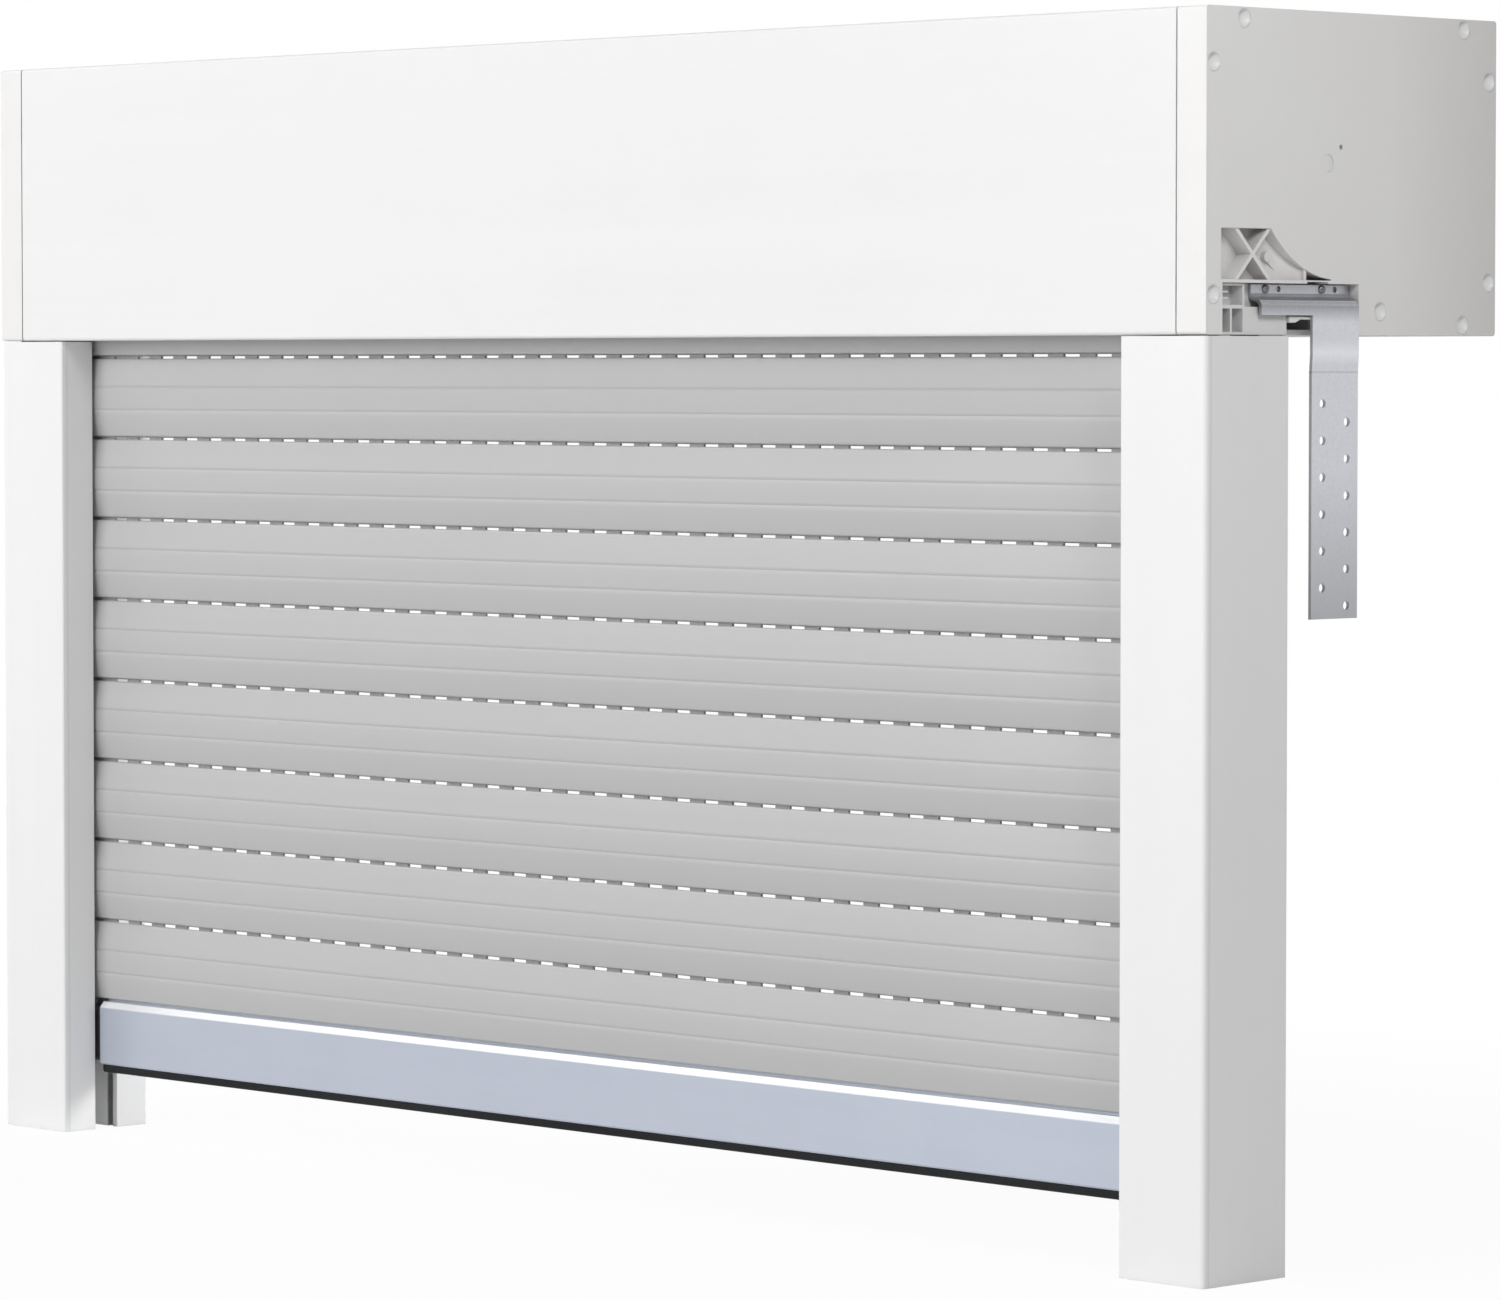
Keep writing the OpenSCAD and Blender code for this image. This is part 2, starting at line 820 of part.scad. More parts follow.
module cap_collar() {
  u0 = panel_t + fit;
  u1 = box_d - panel_t - fit;
  v0 = panel_t + fit;
  v1 = box_h - panel_t - fit;
  free_y = inlet_back + collar_room;
  free_z = pocket_low + back_wall;
  notch = port_r + side_room;
  difference() {
    along_x(cap_in - collar_reach, plate_in + eps) difference() {
      block(u0, v0, u1, v1);
      block(u0 + collar_wall, v0 + collar_wall, u1 - collar_wall, v1 - collar_wall);
      block(u0 - over, v0 - over, free_y, free_z);
    }
    along_x(cap_in - collar_reach - over, cap_in) block(cap_pins[7][0] - notch, v0 - over,
      cap_pins[7][0] + notch, v0 + collar_wall + over);
  }
}

module end_cap() {
  in_place() union() {
    difference() {
      union() {
        along_x(plate_in, cap_out) cap_outline();
        along_x(cap_in, cap_out) difference() {
          cap_outline();
          block(cap_wall, cap_wall, box_d - cap_wall, box_h - cap_wall);
        }
        cap_collar();
        for (p = cap_pins)
          rod_x(cap_in, cap_out - eps, p[0], p[1], pin_head_r);
        along_x(pocket_x - back_wall, plate_in + eps) pocket_outline(pocket_wall);
        along_x(recess_x - recess_wall, plate_in + eps)
          block(inlet_back, recess_low - back_wall, recess_back + back_wall, pocket_low);
        rod_x(cap_in + side_room, recess_x - back_wall, flange_screw + flange_screw_pitch, flange_mid,
          screw_boss_r);
        rod_x(boss_x, plate_in + eps, axis_y, axis_z, boss_r);
      }
      along_x(pocket_x, cap_out + over) pocket_outline(0);
      along_x(recess_x, cap_out + over) block(inlet_back, recess_low, recess_back, inlet_h + cap_gap);
      along_x(recess_x - gap_deep, cap_out + over)
        block(pocket_rib_y + rib_t / 2, inlet_h, pocket_tail - rib_t, pocket_low - gap_roof);
      along_x(cap_in - collar_reach - over, cap_out + over)
        block(inlet_front - cap_gap, -over, inlet_back + cap_gap, inlet_h + cap_gap);
      along_x(recess_x - recess_wall - over, cap_out + over) notch_outline();
      for (p = cap_pins) {
        rod_x(cap_in - over, cap_out, p[0], p[1], pin_r + fit);
        cone_x(cap_out - pin_cone, cap_out + eps, p[0], p[1], pin_r + fit, pin_head_r - pin_room);
      }
      rod_x(cap_in, recess_x + over, flange_screw + flange_screw_pitch, flange_mid, anchor_screw_r);
      rod_x(cap_out - mark_deep, cap_out + over, axis_y, axis_z, mark_r);
      rod_x(cap_out - vent_deep, cap_out + over, axis_y + vent_at[0], axis_z + vent_at[1], vent_r);
      for (a = [45 : 90 : 315])
        rod_x(boss_x - over, boss_x + bracket_bore, axis_y + bracket_screw_r * cos(a),
          axis_z + bracket_screw_r * sin(a), screw_r + fit / 2);
      difference() {
        rod_x(boss_x - over, plate_in, axis_y, axis_z, bracket_screw_r - boss_wall);
        rod_x(boss_x - over, plate_in, axis_y, axis_z, hub_r);
      }
    }
    along_x(pocket_x - eps, cap_out - rib_drop) pocket_ribs();
    pocket_floor();
    rod_x(pocket_x - eps, pocket_x + knob_h, knob[0], knob[1], knob_r);
    along_x(pocket_x - eps, pocket_x + trail_h) strip(knob, knob_trail, trail_w);
  }
}

module end_cap_left() {
  color("gainsboro") mirror([1, 0, 0]) end_cap();
}

module end_cap_right() {
  color("gainsboro") end_cap();
}

module cap_pin_set() {
  face = cap_out - pin_room;
  in_place() for (p = cap_pins)
    difference() {
      union() {
        rod_x(panel_x - pin_reach, cap_out - pin_cone + eps, p[0], p[1], pin_r);
        cone_x(cap_out - pin_cone, face, p[0], p[1], pin_r, pin_top_r);
      }
      translate([face - pin_dish + dish_r, p[0], p[1]]) sphere(r = dish_r);
    }
}

module cap_pins_left() {
  color("white") mirror([1, 0, 0]) cap_pin_set();
}

module cap_pins_right() {
  color("white") cap_pin_set();
}

// Guide inlets and rails

module inlet_funnel() {
  f0 = slot_front;
  f1 = slot_front + slot_w;
  polygon([[f0, -over], [f1, -over], [f1, funnel_low], [f1 + funnel_flare, inlet_h + over],
    [f0 - funnel_flare, inlet_h + over], [f0, funnel_low]]);
}

// Open cells in the outer face of the inlet
module inlet_cells() {
  y0 = inlet_front + cell_wall;
  y1 = inlet_step_y - cell_wall;
  difference() {
    block(y0, cell_floor, y1, inlet_h - cell_roof);
    for (z = cell_ribs)
      block(inlet_front, z, inlet_front + cell_rib_len, z + cell_rib_t);
  }
  block(y0, cell_wall, inlet_front + cell_split, cell_top);
  block(inlet_front + cell_split + cell_wall, cell_wall, y1, cell_top);
}

module guide_inlet() {
  face_x = cap_out - inlet_face;
  plug_u0 = rail_in + rail_wall + run + groove_w + pad_side;
  plug_u1 = cap_out - rail_wall - run;
  front_end = slot_front - rail_wall - run;
  rear_start = slot_front + slot_w + rail_wall + run;
  in_place() difference() {
    union() {
      along_x(rail_in, recess_x) block(inlet_front, 0, inlet_back, inlet_h);
      along_x(recess_x - eps, face_x) {
        block(inlet_front, 0, inlet_step_y, inlet_h);
        block(inlet_front, 0, inlet_back, inlet_ledge);
      }
      along_z(-plug_len, eps) {
        block(plug_u0, inlet_front, plug_u1, front_end);
        block(plug_u0, rear_start, plug_u1, plug_back);
      }
    }
    along_x(rail_in - over, rail_in + slot_deep) inlet_funnel();
    along_x(face_x - cell_deep, face_x + over) inlet_cells();
    along_z(-plug_len - over, funnel_low) {
      block(plug_u0 + plug_wall, inlet_front + plug_wall, recess_x - plug_hollow[0], front_end - plug_wall);
      block(plug_u0 + plug_wall, rear_start + plug_wall, recess_x - plug_hollow[1], plug_back - plug_wall);
    }
    rod_x(recess_x - inlet_bore, recess_x + over, flange_screw, flange_mid, anchor_screw_r);
  }
}

module guide_inlet_left() {
  color("silver") mirror([1, 0, 0]) guide_inlet();
}

module guide_inlet_right() {
  color("silver") guide_inlet();
}

module rail_section() {
  x0 = rail_in;
  x1 = cap_out;
  w = rail_wall;
  f0 = slot_front;
  f1 = slot_front + slot_w;
  pad_w = groove_w + pad_side;
  pad_d = groove_d + pad_floor;
  web = rail_in + slot_deep;
  g0 = x0 + groove_in;
  difference() {
    union() {
      difference() {
        block(x0, 0, x1, rail_d);
        corner_cut(x1, 0, -1, 1, rail_edge_r);
        corner_cut(x0, 0, 1, 1, inner_edge_r);
        corner_cut(x1, rail_d, -1, -1, soft_r);
        corner_cut(x0, rail_d, 1, -1, soft_r);
        block(x0 + w, w, x1 - w, f0 - w);
        block(x0 + w, f1 + w, x1 - w, rail_d - w);
        block(web + w, f0, x1 - w, f1);
      }
      block(x0 + w - eps, f0 - pad_d, x0 + w + pad_w, f0 - w + eps);
      block(x0 + w - eps, f1 + w - eps, x0 + w + pad_w, f1 + pad_d);
    }
    block(x0 - over, f0, web, f1);
    block(g0, f0 - groove_d, g0 + groove_w, f0 + over);
    block(g0, f1 - over, g0 + groove_w, f1 + groove_d);
  }
}

module guide_rail() {
  in_place() along_z(-joint_gap - rail_len, -joint_gap) rail_section();
}

module guide_rail_left() {
  color("white") mirror([1, 0, 0]) guide_rail();
}

module guide_rail_right() {
  color("white") guide_rail();
}

module rail_brushes() {
  g0 = rail_in + groove_in;
  g1 = g0 + groove_w;
  f0 = slot_front;
  f1 = slot_front + slot_w;
  m = g0 + groove_w / 2;
  lap = brush_strip - brush_lap;
  in_place() along_z(-joint_gap - rail_len + brush_short, -joint_gap) {
    block(g0 + fit, f0 - groove_d + fit, g1 - fit, f0 - groove_d + brush_strip);
    block(m - bristle_t / 2, f0 - groove_d + lap, m + bristle_t / 2, f0 + brush_tip);
    block(g0 + fit, f1 + groove_d - brush_strip, g1 - fit, f1 + groove_d - fit);
    block(m - bristle_t / 2, f1 - brush_tip, m + bristle_t / 2, f1 + groove_d - lap);
  }
}

module rail_brushes_left() {
  color("dimgray") mirror([1, 0, 0]) rail_brushes();
}

module rail_brushes_right() {
  color("dimgray") rail_brushes();
}

// Wall anchors

// Bent sheet seen from the front, in X and z
module anchor_section() {
  b = [flange_x, flange_low];
  c = [band_x, bend_low];
  slant = unit(c - b) * bend_run;
  bent_sheet([[flange_x, flange_high], b + [0, bend_run], b + slant, c - slant, c - [0, bend_run],
    [band_x, joggle_top], [band_x - joggle, joggle_low], [band_x - joggle, -anchor_drop]], sheet_t);
}

// Flat outline of the sheet seen from the side, in y and z
module anchor_outline() {
  block(flange_y, band_bottom, flange_y + flange_len, flange_high + over);
  block(anchor_y, -anchor_drop - over, anchor_y + anchor_w, bend_low);
}

module wall_anchor() {
  y1 = anchor_y + anchor_w;
  edge = (anchor_w - anchor_columns) / 2;
  in_place() difference() {
    intersection() {
      along_y(flange_y, max(y1, flange_y + flange_len)) anchor_section();
      along_x(recess_x - over, cap_out + sheet_t + over) anchor_outline();
    }
    for (i = [0 : anchor_holes - 1]) {
      rod_x(plate_in, cap_out + sheet_t, anchor_y + edge, -anchor_first - i * anchor_pitch, anchor_hole_r);
      rod_x(plate_in, cap_out + sheet_t, y1 - edge, -anchor_first - (i + 0.5) * anchor_pitch,
        anchor_hole_r);
    }
    for (i = [0, 1], s = [0, spare_hole])
      rod_x(recess_x - over, recess_x + sheet_t + over, flange_screw + i * flange_screw_pitch + s, flange_mid,
        anchor_screw_r + fit);
  }
}

module wall_anchor_left() {
  color("silver") mirror([1, 0, 0]) wall_anchor();
}

module wall_anchor_right() {
  color("silver") wall_anchor();
}

module anchor_screws() {
  face = recess_x + sheet_t;
  shank_r = anchor_screw_r - fit / 2;
  in_place() for (i = [0, 1])
    translate([0, flange_screw + i * flange_screw_pitch, flange_mid]) difference() {
      union() {
        rod_x(recess_x - anchor_screw_len, face + eps, 0, 0, shank_r);
        rod_x(face, face + anchor_head_rim, 0, 0, anchor_head_r);
        cone_x(face + anchor_head_rim - eps, face + anchor_head_h, 0, 0, anchor_head_r, anchor_head_top);
      }
      along_x(face + anchor_head_rim, face + anchor_head_h + over) cross(anchor_cross);
    }
}

module anchor_screws_left() {
  color("silver") mirror([1, 0, 0]) anchor_screws();
}

module anchor_screws_right() {
  color("silver") anchor_screws();
}

// Bearing side, right

module bracket_holes() {
  for (a = [45 : 90 : 315])
    rod_x(-over, bracket_t + over, bracket_screw_r * cos(a), bracket_screw_r * sin(a), screw_r + fit);
}

module bearing_bracket() {
  color("dimgray") in_place() on_axis() difference() {
    union() {
      rod_x(bracket_x, boss_x, 0, 0, bracket_r);
      cone_x(bracket_x - cup_len, bracket_x + eps, 0, 0, bearing_r + cup_wall, bearing_r + cup_root);
    }
    rod_x(bracket_x - cup_len - over, bearing_x + bearing_w + fit, 0, 0, bearing_r + fit / 2);
    rod_x(bearing_x, boss_x + over, 0, 0, axle_r + axle_room);
    translate([bracket_x, 0, 0]) bracket_holes();
  }
}

module bearing_outer_ring() {
  color("silver") in_place() on_axis() translate([bearing_x, 0, 0]) difference() {
    rod_x(0, bearing_w, 0, 0, bearing_r);
    rod_x(-over, bearing_w + over, 0, 0, race_out);
    ring_x(bearing_w / 2, ball_track, ball_r + run);
  }
}

module bearing_inner_ring() {
  color("silver") in_place() on_axis() translate([bearing_x, 0, 0]) difference() {
    rod_x(0, bearing_w, 0, 0, race_in);
    rod_x(-over, bearing_w + over, 0, 0, axle_r + fit / 2);
    ring_x(bearing_w / 2, ball_track, ball_r + fit / 2);
  }
}

module bearing_balls() {
  color("gray") in_place() on_axis() for (i = [0 : balls - 1])
    rotate([i * 360 / balls, 0, 0]) translate([bearing_x + bearing_w / 2, ball_track, 0]) sphere(r = ball_r);
}

module axle_pin() {
  far = bearing_x + bearing_w;
  color("silver") in_place() on_axis() union() {
    rod_x(shaft_end - plug_in + plug_bed + side_room, far - axle_tip + eps, 0, 0, axle_r);
    cone_x(far - axle_tip, far, 0, 0, axle_r, axle_r - axle_tip);
    rod_x(bearing_x - axle_collar_w, bearing_x, 0, 0, axle_r + axle_collar);
  }
}

module shaft_end_plug() {
  color("black") in_place() on_axis() difference() {
    union() {
      along_x(shaft_end - plug_in, shaft_end + eps) octagon(shaft_r - shaft_wall - fit);
      along_x(shaft_end, shaft_end + plug_flange) octagon(shaft_r + plug_rim);
    }
    rod_x(shaft_end - plug_in + plug_bed, shaft_end + plug_flange + over, 0, 0, axle_r + fit / 2);
    for (i = [0 : 7])
      rod_x(shaft_end - plug_in - over, shaft_end - plug_face, plug_hole_at * cos(i * eighth),
        plug_hole_at * sin(i * eighth), plug_hole_r);
  }
}

// Shaft with the openings for its straps

module winding_shaft() {
  slot_dir = (corner_a + corner_b) / 2;
  slot_half = strap_w / 2 + strap_slot_room;
  color("silver") in_place() on_axis() difference() {
    along_x(-shaft_end, shaft_end) difference() {
      octagon(shaft_r);
      octagon(shaft_r - shaft_wall);
    }
    for (i = [-1 : 1])
      along_x(i * strap_pitch - slot_half, i * strap_pitch + slot_half)
        rotate(slot_dir)
          block(shaft_r - shaft_wall - over, strap_slot_at, shaft_r + over, strap_slot_at + strap_slot);
  }
}

module strap_section() {
  tail = [strap_end_y, strap_end_z];
  bend = [strap_corner_y, strap_corner_z];
  hook = [hook_y, hook_z];
  top = [hook_y, hook_top];
  toe = [curtain_y + neck_t / 2 + run + strap_t / 2, hook_z];
  strip(toe, hook, strap_t);
  strip(hook, top, strap_t);
  strip(top, bend, strap_t);
  strip(bend, tail, strap_t);
}

module suspension_straps() {
  color("slategray") in_place() for (i = [-1 : 1])
    along_x(i * strap_pitch - strap_w / 2, i * strap_pitch + strap_w / 2) strap_section();
}

// Motor side, left

module motor_bracket() {
  hole = square_w + 2 * fit;
  color("silver") in_place() on_axis() mirror([1, 0, 0]) difference() {
    union() {
      rod_x(bracket_x, boss_x, 0, 0, bracket_r);
      cone_x(bracket_x - pad_t, bracket_x + eps, 0, 0, pad_r, pad_back_r);
    }
    along_x(bracket_x - pad_t - over, boss_x + over) square([hole, hole], center = true);
    translate([bracket_x, 0, 0]) bracket_holes();
  }
}

module motor_head() {
  face = bracket_x - pad_t;
  color("black") in_place() on_axis() mirror([1, 0, 0]) difference() {
    union() {
      along_x(face - eps, boss_x - side_room) square([square_w, square_w], center = true);
      cone_x(face - head_len, face, 0, 0, head_r, head_back_r);
      rod_x(motor_start, face - head_len + eps, 0, 0, motor_r);
    }
    for (s = [-1, 1])
      rod_x(bracket_x - head_hole_deep, bracket_x, head_hole_at[0] * s, head_hole_at[1], head_hole_r);
  }
}

module motor_tube() {
  color("gainsboro") in_place() on_axis() mirror([1, 0, 0]) difference() {
    union() {
      rod_x(motor_end, motor_start, 0, 0, motor_r);
      cone_x(motor_end - nose_len, motor_end + eps, 0, 0, motor_r - nose_r, motor_r - nose_back_r);
    }
    rod_x(motor_end - nose_len - over, motor_end + stub_bore, 0, 0, stub_r + run);
  }
}

module motor_crown() {
  color("black") in_place() on_axis() mirror([1, 0, 0]) difference() {
    union() {
      along_x(shaft_end - crown_in, shaft_end + eps) octagon(shaft_r - shaft_wall - fit);
      along_x(shaft_end, shaft_end + plug_flange) octagon(shaft_r + plug_rim);
    }
    rod_x(shaft_end - crown_len, shaft_end + plug_flange + over, 0, 0, motor_r + run);
  }
}

module output_stub() {
  color("silver") in_place() on_axis() mirror([1, 0, 0]) union() {
    rod_x(motor_end - stub_len, motor_end + stub_in, 0, 0, stub_r);
    along_x(motor_end - stub_end, motor_end - stub_len + eps)
      square([stub_square, stub_square], center = true);
  }
}

module drive_wheel() {
  hole = stub_square + fit;
  color("black") in_place() on_axis() mirror([1, 0, 0]) difference() {
    along_x(motor_end - wheel_far, motor_end - wheel_near) octagon(shaft_r - shaft_wall - fit);
    along_x(motor_end - wheel_far - over, motor_end - wheel_near + over) square([hole, hole], center = true);
    for (i = [0 : 7])
      rod_x(motor_end - wheel_far - over, motor_end - wheel_hole_end,
        wheel_hole_at * cos(i * eighth + corner_a), wheel_hole_at * sin(i * eighth + corner_a), wheel_hole_r);
  }
}

module bracket_screw_ring() {
  top = bracket_x - bracket_head_h;
  for (a = [45 : 90 : 315])
    translate([0, bracket_screw_r * cos(a), bracket_screw_r * sin(a)]) difference() {
      union() {
        rod_x(bracket_x - eps, boss_x + bracket_screw_len, 0, 0, screw_r);
        cone_x(top, bracket_x, 0, 0, bracket_head_top, bracket_head_r);
      }
      along_x(top - over, top + bracket_cross_deep) cross(bracket_cross);
    }
}

module bracket_screws() {
  color("silver") in_place() on_axis() {
    bracket_screw_ring();
    mirror([1, 0, 0]) bracket_screw_ring();
  }
}

// Curtain

// Half thickness of a slat at height z
function bulge(z) = slat_t / 2 - slat_draw * pow(2 * z / slat_h - 1, 2);

// Points of one front stretch between two heights, set back by s
function stretch(z0, z1, s, n) = [for (i = [0 : n]) let (z = z0 + (z1 - z0) * i / n) [s - bulge(z), z]];

function back_curve(z0, z1, s, n) = [for (i = [0 : n]) let (z = z0 + (z1 - z0) * i / n) [bulge(z) - s, z]];

module slat_outline() {
  e = slat_edge;
  h = score_w / 2;
  rim = bulge(0) - e;
  back_top = slat_h - top_fall;
  polygon(concat(
    [[-rim, 0], [rim, 0]],
    back_curve(e, back_top - e, 0, 12),
    [[bulge(back_top) - e, back_top], [-rim, slat_h]],
    stretch(slat_h - e, score_high + h, 0, 5),
    [[score_deep - bulge(score_high), score_high]],
    stretch(score_high - h, score_low + h, 0, 4),
    [[score_deep - bulge(score_low), score_low]],
    stretch(score_low - h, e, 0, 5)));
}

module slat_hollow(z0, z1) {
  polygon(concat(stretch(z0, z1, score_deep + slat_wall, 5), back_curve(z1, z0, slat_wall, 5)));
}

// Neck and head that hang in the mouth of the slat above, rooted below z0
module hanger(z0, root) {
  block(-neck_t / 2, z0 - root, neck_t / 2, z0 + slat_gap + lip_t + head_t / 2);
  block(-head_w / 2, z0 + slat_gap + lip_t, head_w / 2, z0 + slat_gap + lip_t + head_t);
}

module slat_section() {
  mid = (cave_top + slat_h) / 2;
  difference() {
    union() {
      slat_outline();
      hanger(slat_h, neck_sink * top_fall + slat_wall / 2);
    }
    block(-mouth_w / 2, -over, mouth_w / 2, lip_t + eps);
    block(-cave_w / 2, lip_t, cave_w / 2, cave_top);
    slat_hollow(cave_top + slat_wall, mid - slat_wall / 2);
    slat_hollow(mid + slat_wall / 2, slat_h - slat_wall - top_fall);
  }
}

// Slots through the neck, from z0 up to the head
module light_slots(z0, z1) {
  for (i = [0 : light_n - 1])
    translate([(i - (light_n - 1) / 2) * light_pitch - light_len / 2, -neck_t, z0])
      cube([light_len, 2 * neck_t, z1 - z0]);
}

module slat(k) {
  color("lightgray") in_place() translate([0, curtain_y, -first_line - (k - 1) * slat_pitch]) difference() {
    along_x(-slat_x, slat_x) slat_section();
    light_slots(slat_h - slot_sink * top_fall, slat_pitch + lip_t - fit);
  }
}

module slat_1() {
  slat(1);
}

module slat_2() {
  slat(2);
}

module slat_3() {
  slat(3);
}

module slat_4() {
  slat(4);
}

module slat_5() {
  slat(5);
}

module slat_6() {
  slat(6);
}

module slat_7() {
  slat(7);
}

module slat_8() {
  slat(8);
}

module slat_9() {
  slat(9);
}

module bar_section() {
  f = bar_front;
  b = bar_back;
  w = bar_wall;
  s = bar_slope;
  e = soft_r;
  root = seal_lip + seal_root_h + 2 * fit;
  difference() {
    union() {
      polygon([[e - f, 0], [b - e, 0], [b, e], [b, bar_h - e], [b - e, bar_h], [bar_lean * s - f, bar_h],
        [-f, bar_h - s], [-f, e]]);
      hanger(bar_h, bar_wall / 2);
    }
    polygon([[w - f, root + w], [w - f, bar_h - s - w / 2], [bar_lean * s - f + w / 2, bar_h - w],
      [b - w, bar_h - w], [b - w, root + w]]);
    block(-seal_neck_w / 2 - fit, -over, seal_neck_w / 2 + fit, seal_lip + eps);
    block(-seal_root_w / 2 - fit, seal_lip, seal_root_w / 2 + fit, root);
  }
}

module bottom_bar() {
  color("lightsteelblue") in_place() translate([0, curtain_y, bar_z]) along_x(-bar_x, bar_x) bar_section();
}

module bottom_seal() {
  color("dimgray") in_place() translate([0, curtain_y, bar_z]) along_x(-bar_x, bar_x) {
    block(-seal_neck_w / 2, -eps, seal_neck_w / 2, seal_lip + fit + eps);
    block(-seal_root_w / 2, seal_lip + fit, seal_root_w / 2, seal_lip + fit + seal_root_h);
    difference() {
      block(-seal_w / 2, -seal_h, seal_w / 2, 0);
      corner_cut(-seal_w / 2, -seal_h, 1, 1, seal_r);
      corner_cut(seal_w / 2, -seal_h, -1, 1, seal_r);
      block(seal_wall - seal_w / 2, seal_wall - seal_h, seal_w / 2 - seal_wall, -seal_wall);
    }
  }
}

module bar_glider() {
  t = glider_t / 2;
  y0 = bar_wall + fit - bar_front;
  y1 = bar_back - bar_wall - fit;
  low = seal_lip + seal_root_h + 2 * fit + bar_wall + fit;
  high = bar_h - bar_slope - bar_wall - glider_room;
  top = bar_h - bar_slope;
  in_place() translate([0, curtain_y, bar_z]) union() {
    along_x(bar_x, slat_x) difference() {
      block(-t, glider_low, t, top);
      corner_cut(-t, glider_low, 1, 1, glider_r);
      corner_cut(t, glider_low, -1, 1, glider_r);
      corner_cut(-t, top, 1, -1, glider_r);
      corner_cut(t, top, -1, -1, glider_r);
    }
    along_x(bar_x - glider_tongue, bar_x + eps) difference() {
      block(y0, low, y1, high);
      block(y0 + glider_wall, low + glider_wall, y1 - glider_wall, high - glider_wall);
    }
  }
}

module bar_glider_left() {
  color("black") mirror([1, 0, 0]) bar_glider();
}

module bar_glider_right() {
  color("black") bar_glider();
}

front_panel();
top_panel();
bottom_panel();
rear_panel_upper();
rear_panel_lower();
inspection_cover();
cover_insulation();
end_cap_left();
end_cap_right();
cap_pins_left();
cap_pins_right();
guide_inlet_left();
guide_inlet_right();
guide_rail_left();
guide_rail_right();
rail_brushes_left();
rail_brushes_right();
wall_anchor_left();
wall_anchor_right();
anchor_screws_left();
anchor_screws_right();
bearing_bracket();
bearing_outer_ring();
motor_bracket();
bracket_screws();
motor_head();
motor_tube();
winding_shaft();
shaft_end_plug();
axle_pin();
bearing_inner_ring();
bearing_balls();
motor_crown();
drive_wheel();
output_stub();
suspension_straps();
slat_1();
slat_2();
slat_3();
slat_4();
slat_5();
slat_6();
slat_7();
slat_8();
slat_9();
bottom_bar();
bottom_seal();
bar_glider_left();
bar_glider_right();
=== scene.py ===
"""Looks of an exterior roller shutter: finishes, slats, brush piles, screws, straps and a plain studio."""
import json
import math

import bmesh
import bpy
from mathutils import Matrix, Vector


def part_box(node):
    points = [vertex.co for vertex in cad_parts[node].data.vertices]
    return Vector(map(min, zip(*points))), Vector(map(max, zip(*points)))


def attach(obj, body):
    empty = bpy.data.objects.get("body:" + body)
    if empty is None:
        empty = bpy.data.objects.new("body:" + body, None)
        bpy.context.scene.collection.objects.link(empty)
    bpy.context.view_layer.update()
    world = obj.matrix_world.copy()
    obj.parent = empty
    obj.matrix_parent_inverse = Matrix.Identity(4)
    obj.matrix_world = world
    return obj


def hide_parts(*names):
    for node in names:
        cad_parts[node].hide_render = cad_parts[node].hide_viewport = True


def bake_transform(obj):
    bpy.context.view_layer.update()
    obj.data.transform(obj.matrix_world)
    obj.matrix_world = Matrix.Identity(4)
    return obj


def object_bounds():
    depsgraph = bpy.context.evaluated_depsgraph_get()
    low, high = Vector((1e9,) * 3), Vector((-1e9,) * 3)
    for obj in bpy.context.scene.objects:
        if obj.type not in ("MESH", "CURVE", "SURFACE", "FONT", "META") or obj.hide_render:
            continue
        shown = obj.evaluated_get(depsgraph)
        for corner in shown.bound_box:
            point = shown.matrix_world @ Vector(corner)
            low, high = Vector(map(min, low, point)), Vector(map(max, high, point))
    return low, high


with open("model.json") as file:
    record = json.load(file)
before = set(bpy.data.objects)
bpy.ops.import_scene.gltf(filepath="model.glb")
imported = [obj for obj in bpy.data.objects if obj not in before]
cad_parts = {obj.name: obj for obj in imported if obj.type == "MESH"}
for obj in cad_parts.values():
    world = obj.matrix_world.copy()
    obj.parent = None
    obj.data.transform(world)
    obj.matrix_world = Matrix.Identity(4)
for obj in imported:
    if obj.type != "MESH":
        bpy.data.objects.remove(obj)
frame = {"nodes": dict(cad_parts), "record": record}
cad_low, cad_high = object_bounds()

MM = 0.001
nodes = frame["nodes"]

# Camera: place in metres, heading and fall in degrees, focal length and sensor in millimetres
CAMERA_AT = (2.8247, -2.6689, -0.0192)
CAMERA_HEADING = 46.107
CAMERA_FALL = 2.487
CAMERA_LENS = 154.34
SENSOR_W = 36.0

# Studio: lengths in metres, light of the surroundings, and how white the floor shows near the part
FLOOR_GAP = 0.2 * MM
FLOOR_REACH = 14.0
SHADOW_NEAR = 0.5
SHADOW_FAR = 1.1
NEAR_WHITE = 0.94
WORLD_LIGHT = 0.21

# Slat section, in metres, and the steps that its outline is drawn in
SLATS = range(1, 10)
SLAT_T = 14 * MM
SLAT_DRAW = 2.5 * MM
SLAT_GAP = 2 * MM
TOP_FALL = 2.5 * MM
SCORE_LINES = (17 * MM, 31.5 * MM)
SCORE_DEEP = 0.35 * MM
SCORE_W = 1.8 * MM
EDGE_R = 1.4 * MM
NECK_T = 1.6 * MM
HEAD_W = 5.8 * MM
HEAD_T = 2 * MM
LIP_T = 2 * MM
MOUTH_W = 3 * MM
CAVE_W = 6.8 * MM
CAVE_TOP = 9.5 * MM
FRONT_STEPS = 22
BACK_STEPS = 18
SCORE_STEPS = 4

# Light slots in the necks, in metres: their drop below a slat's front edge, and the neck left above them
LIGHT_LEN = 12 * MM
LIGHT_PITCH = 24 * MM
LIGHT_COUNT = 38
LIGHT_DROP = 0.6 * MM
LIGHT_TOP = 0.6 * MM

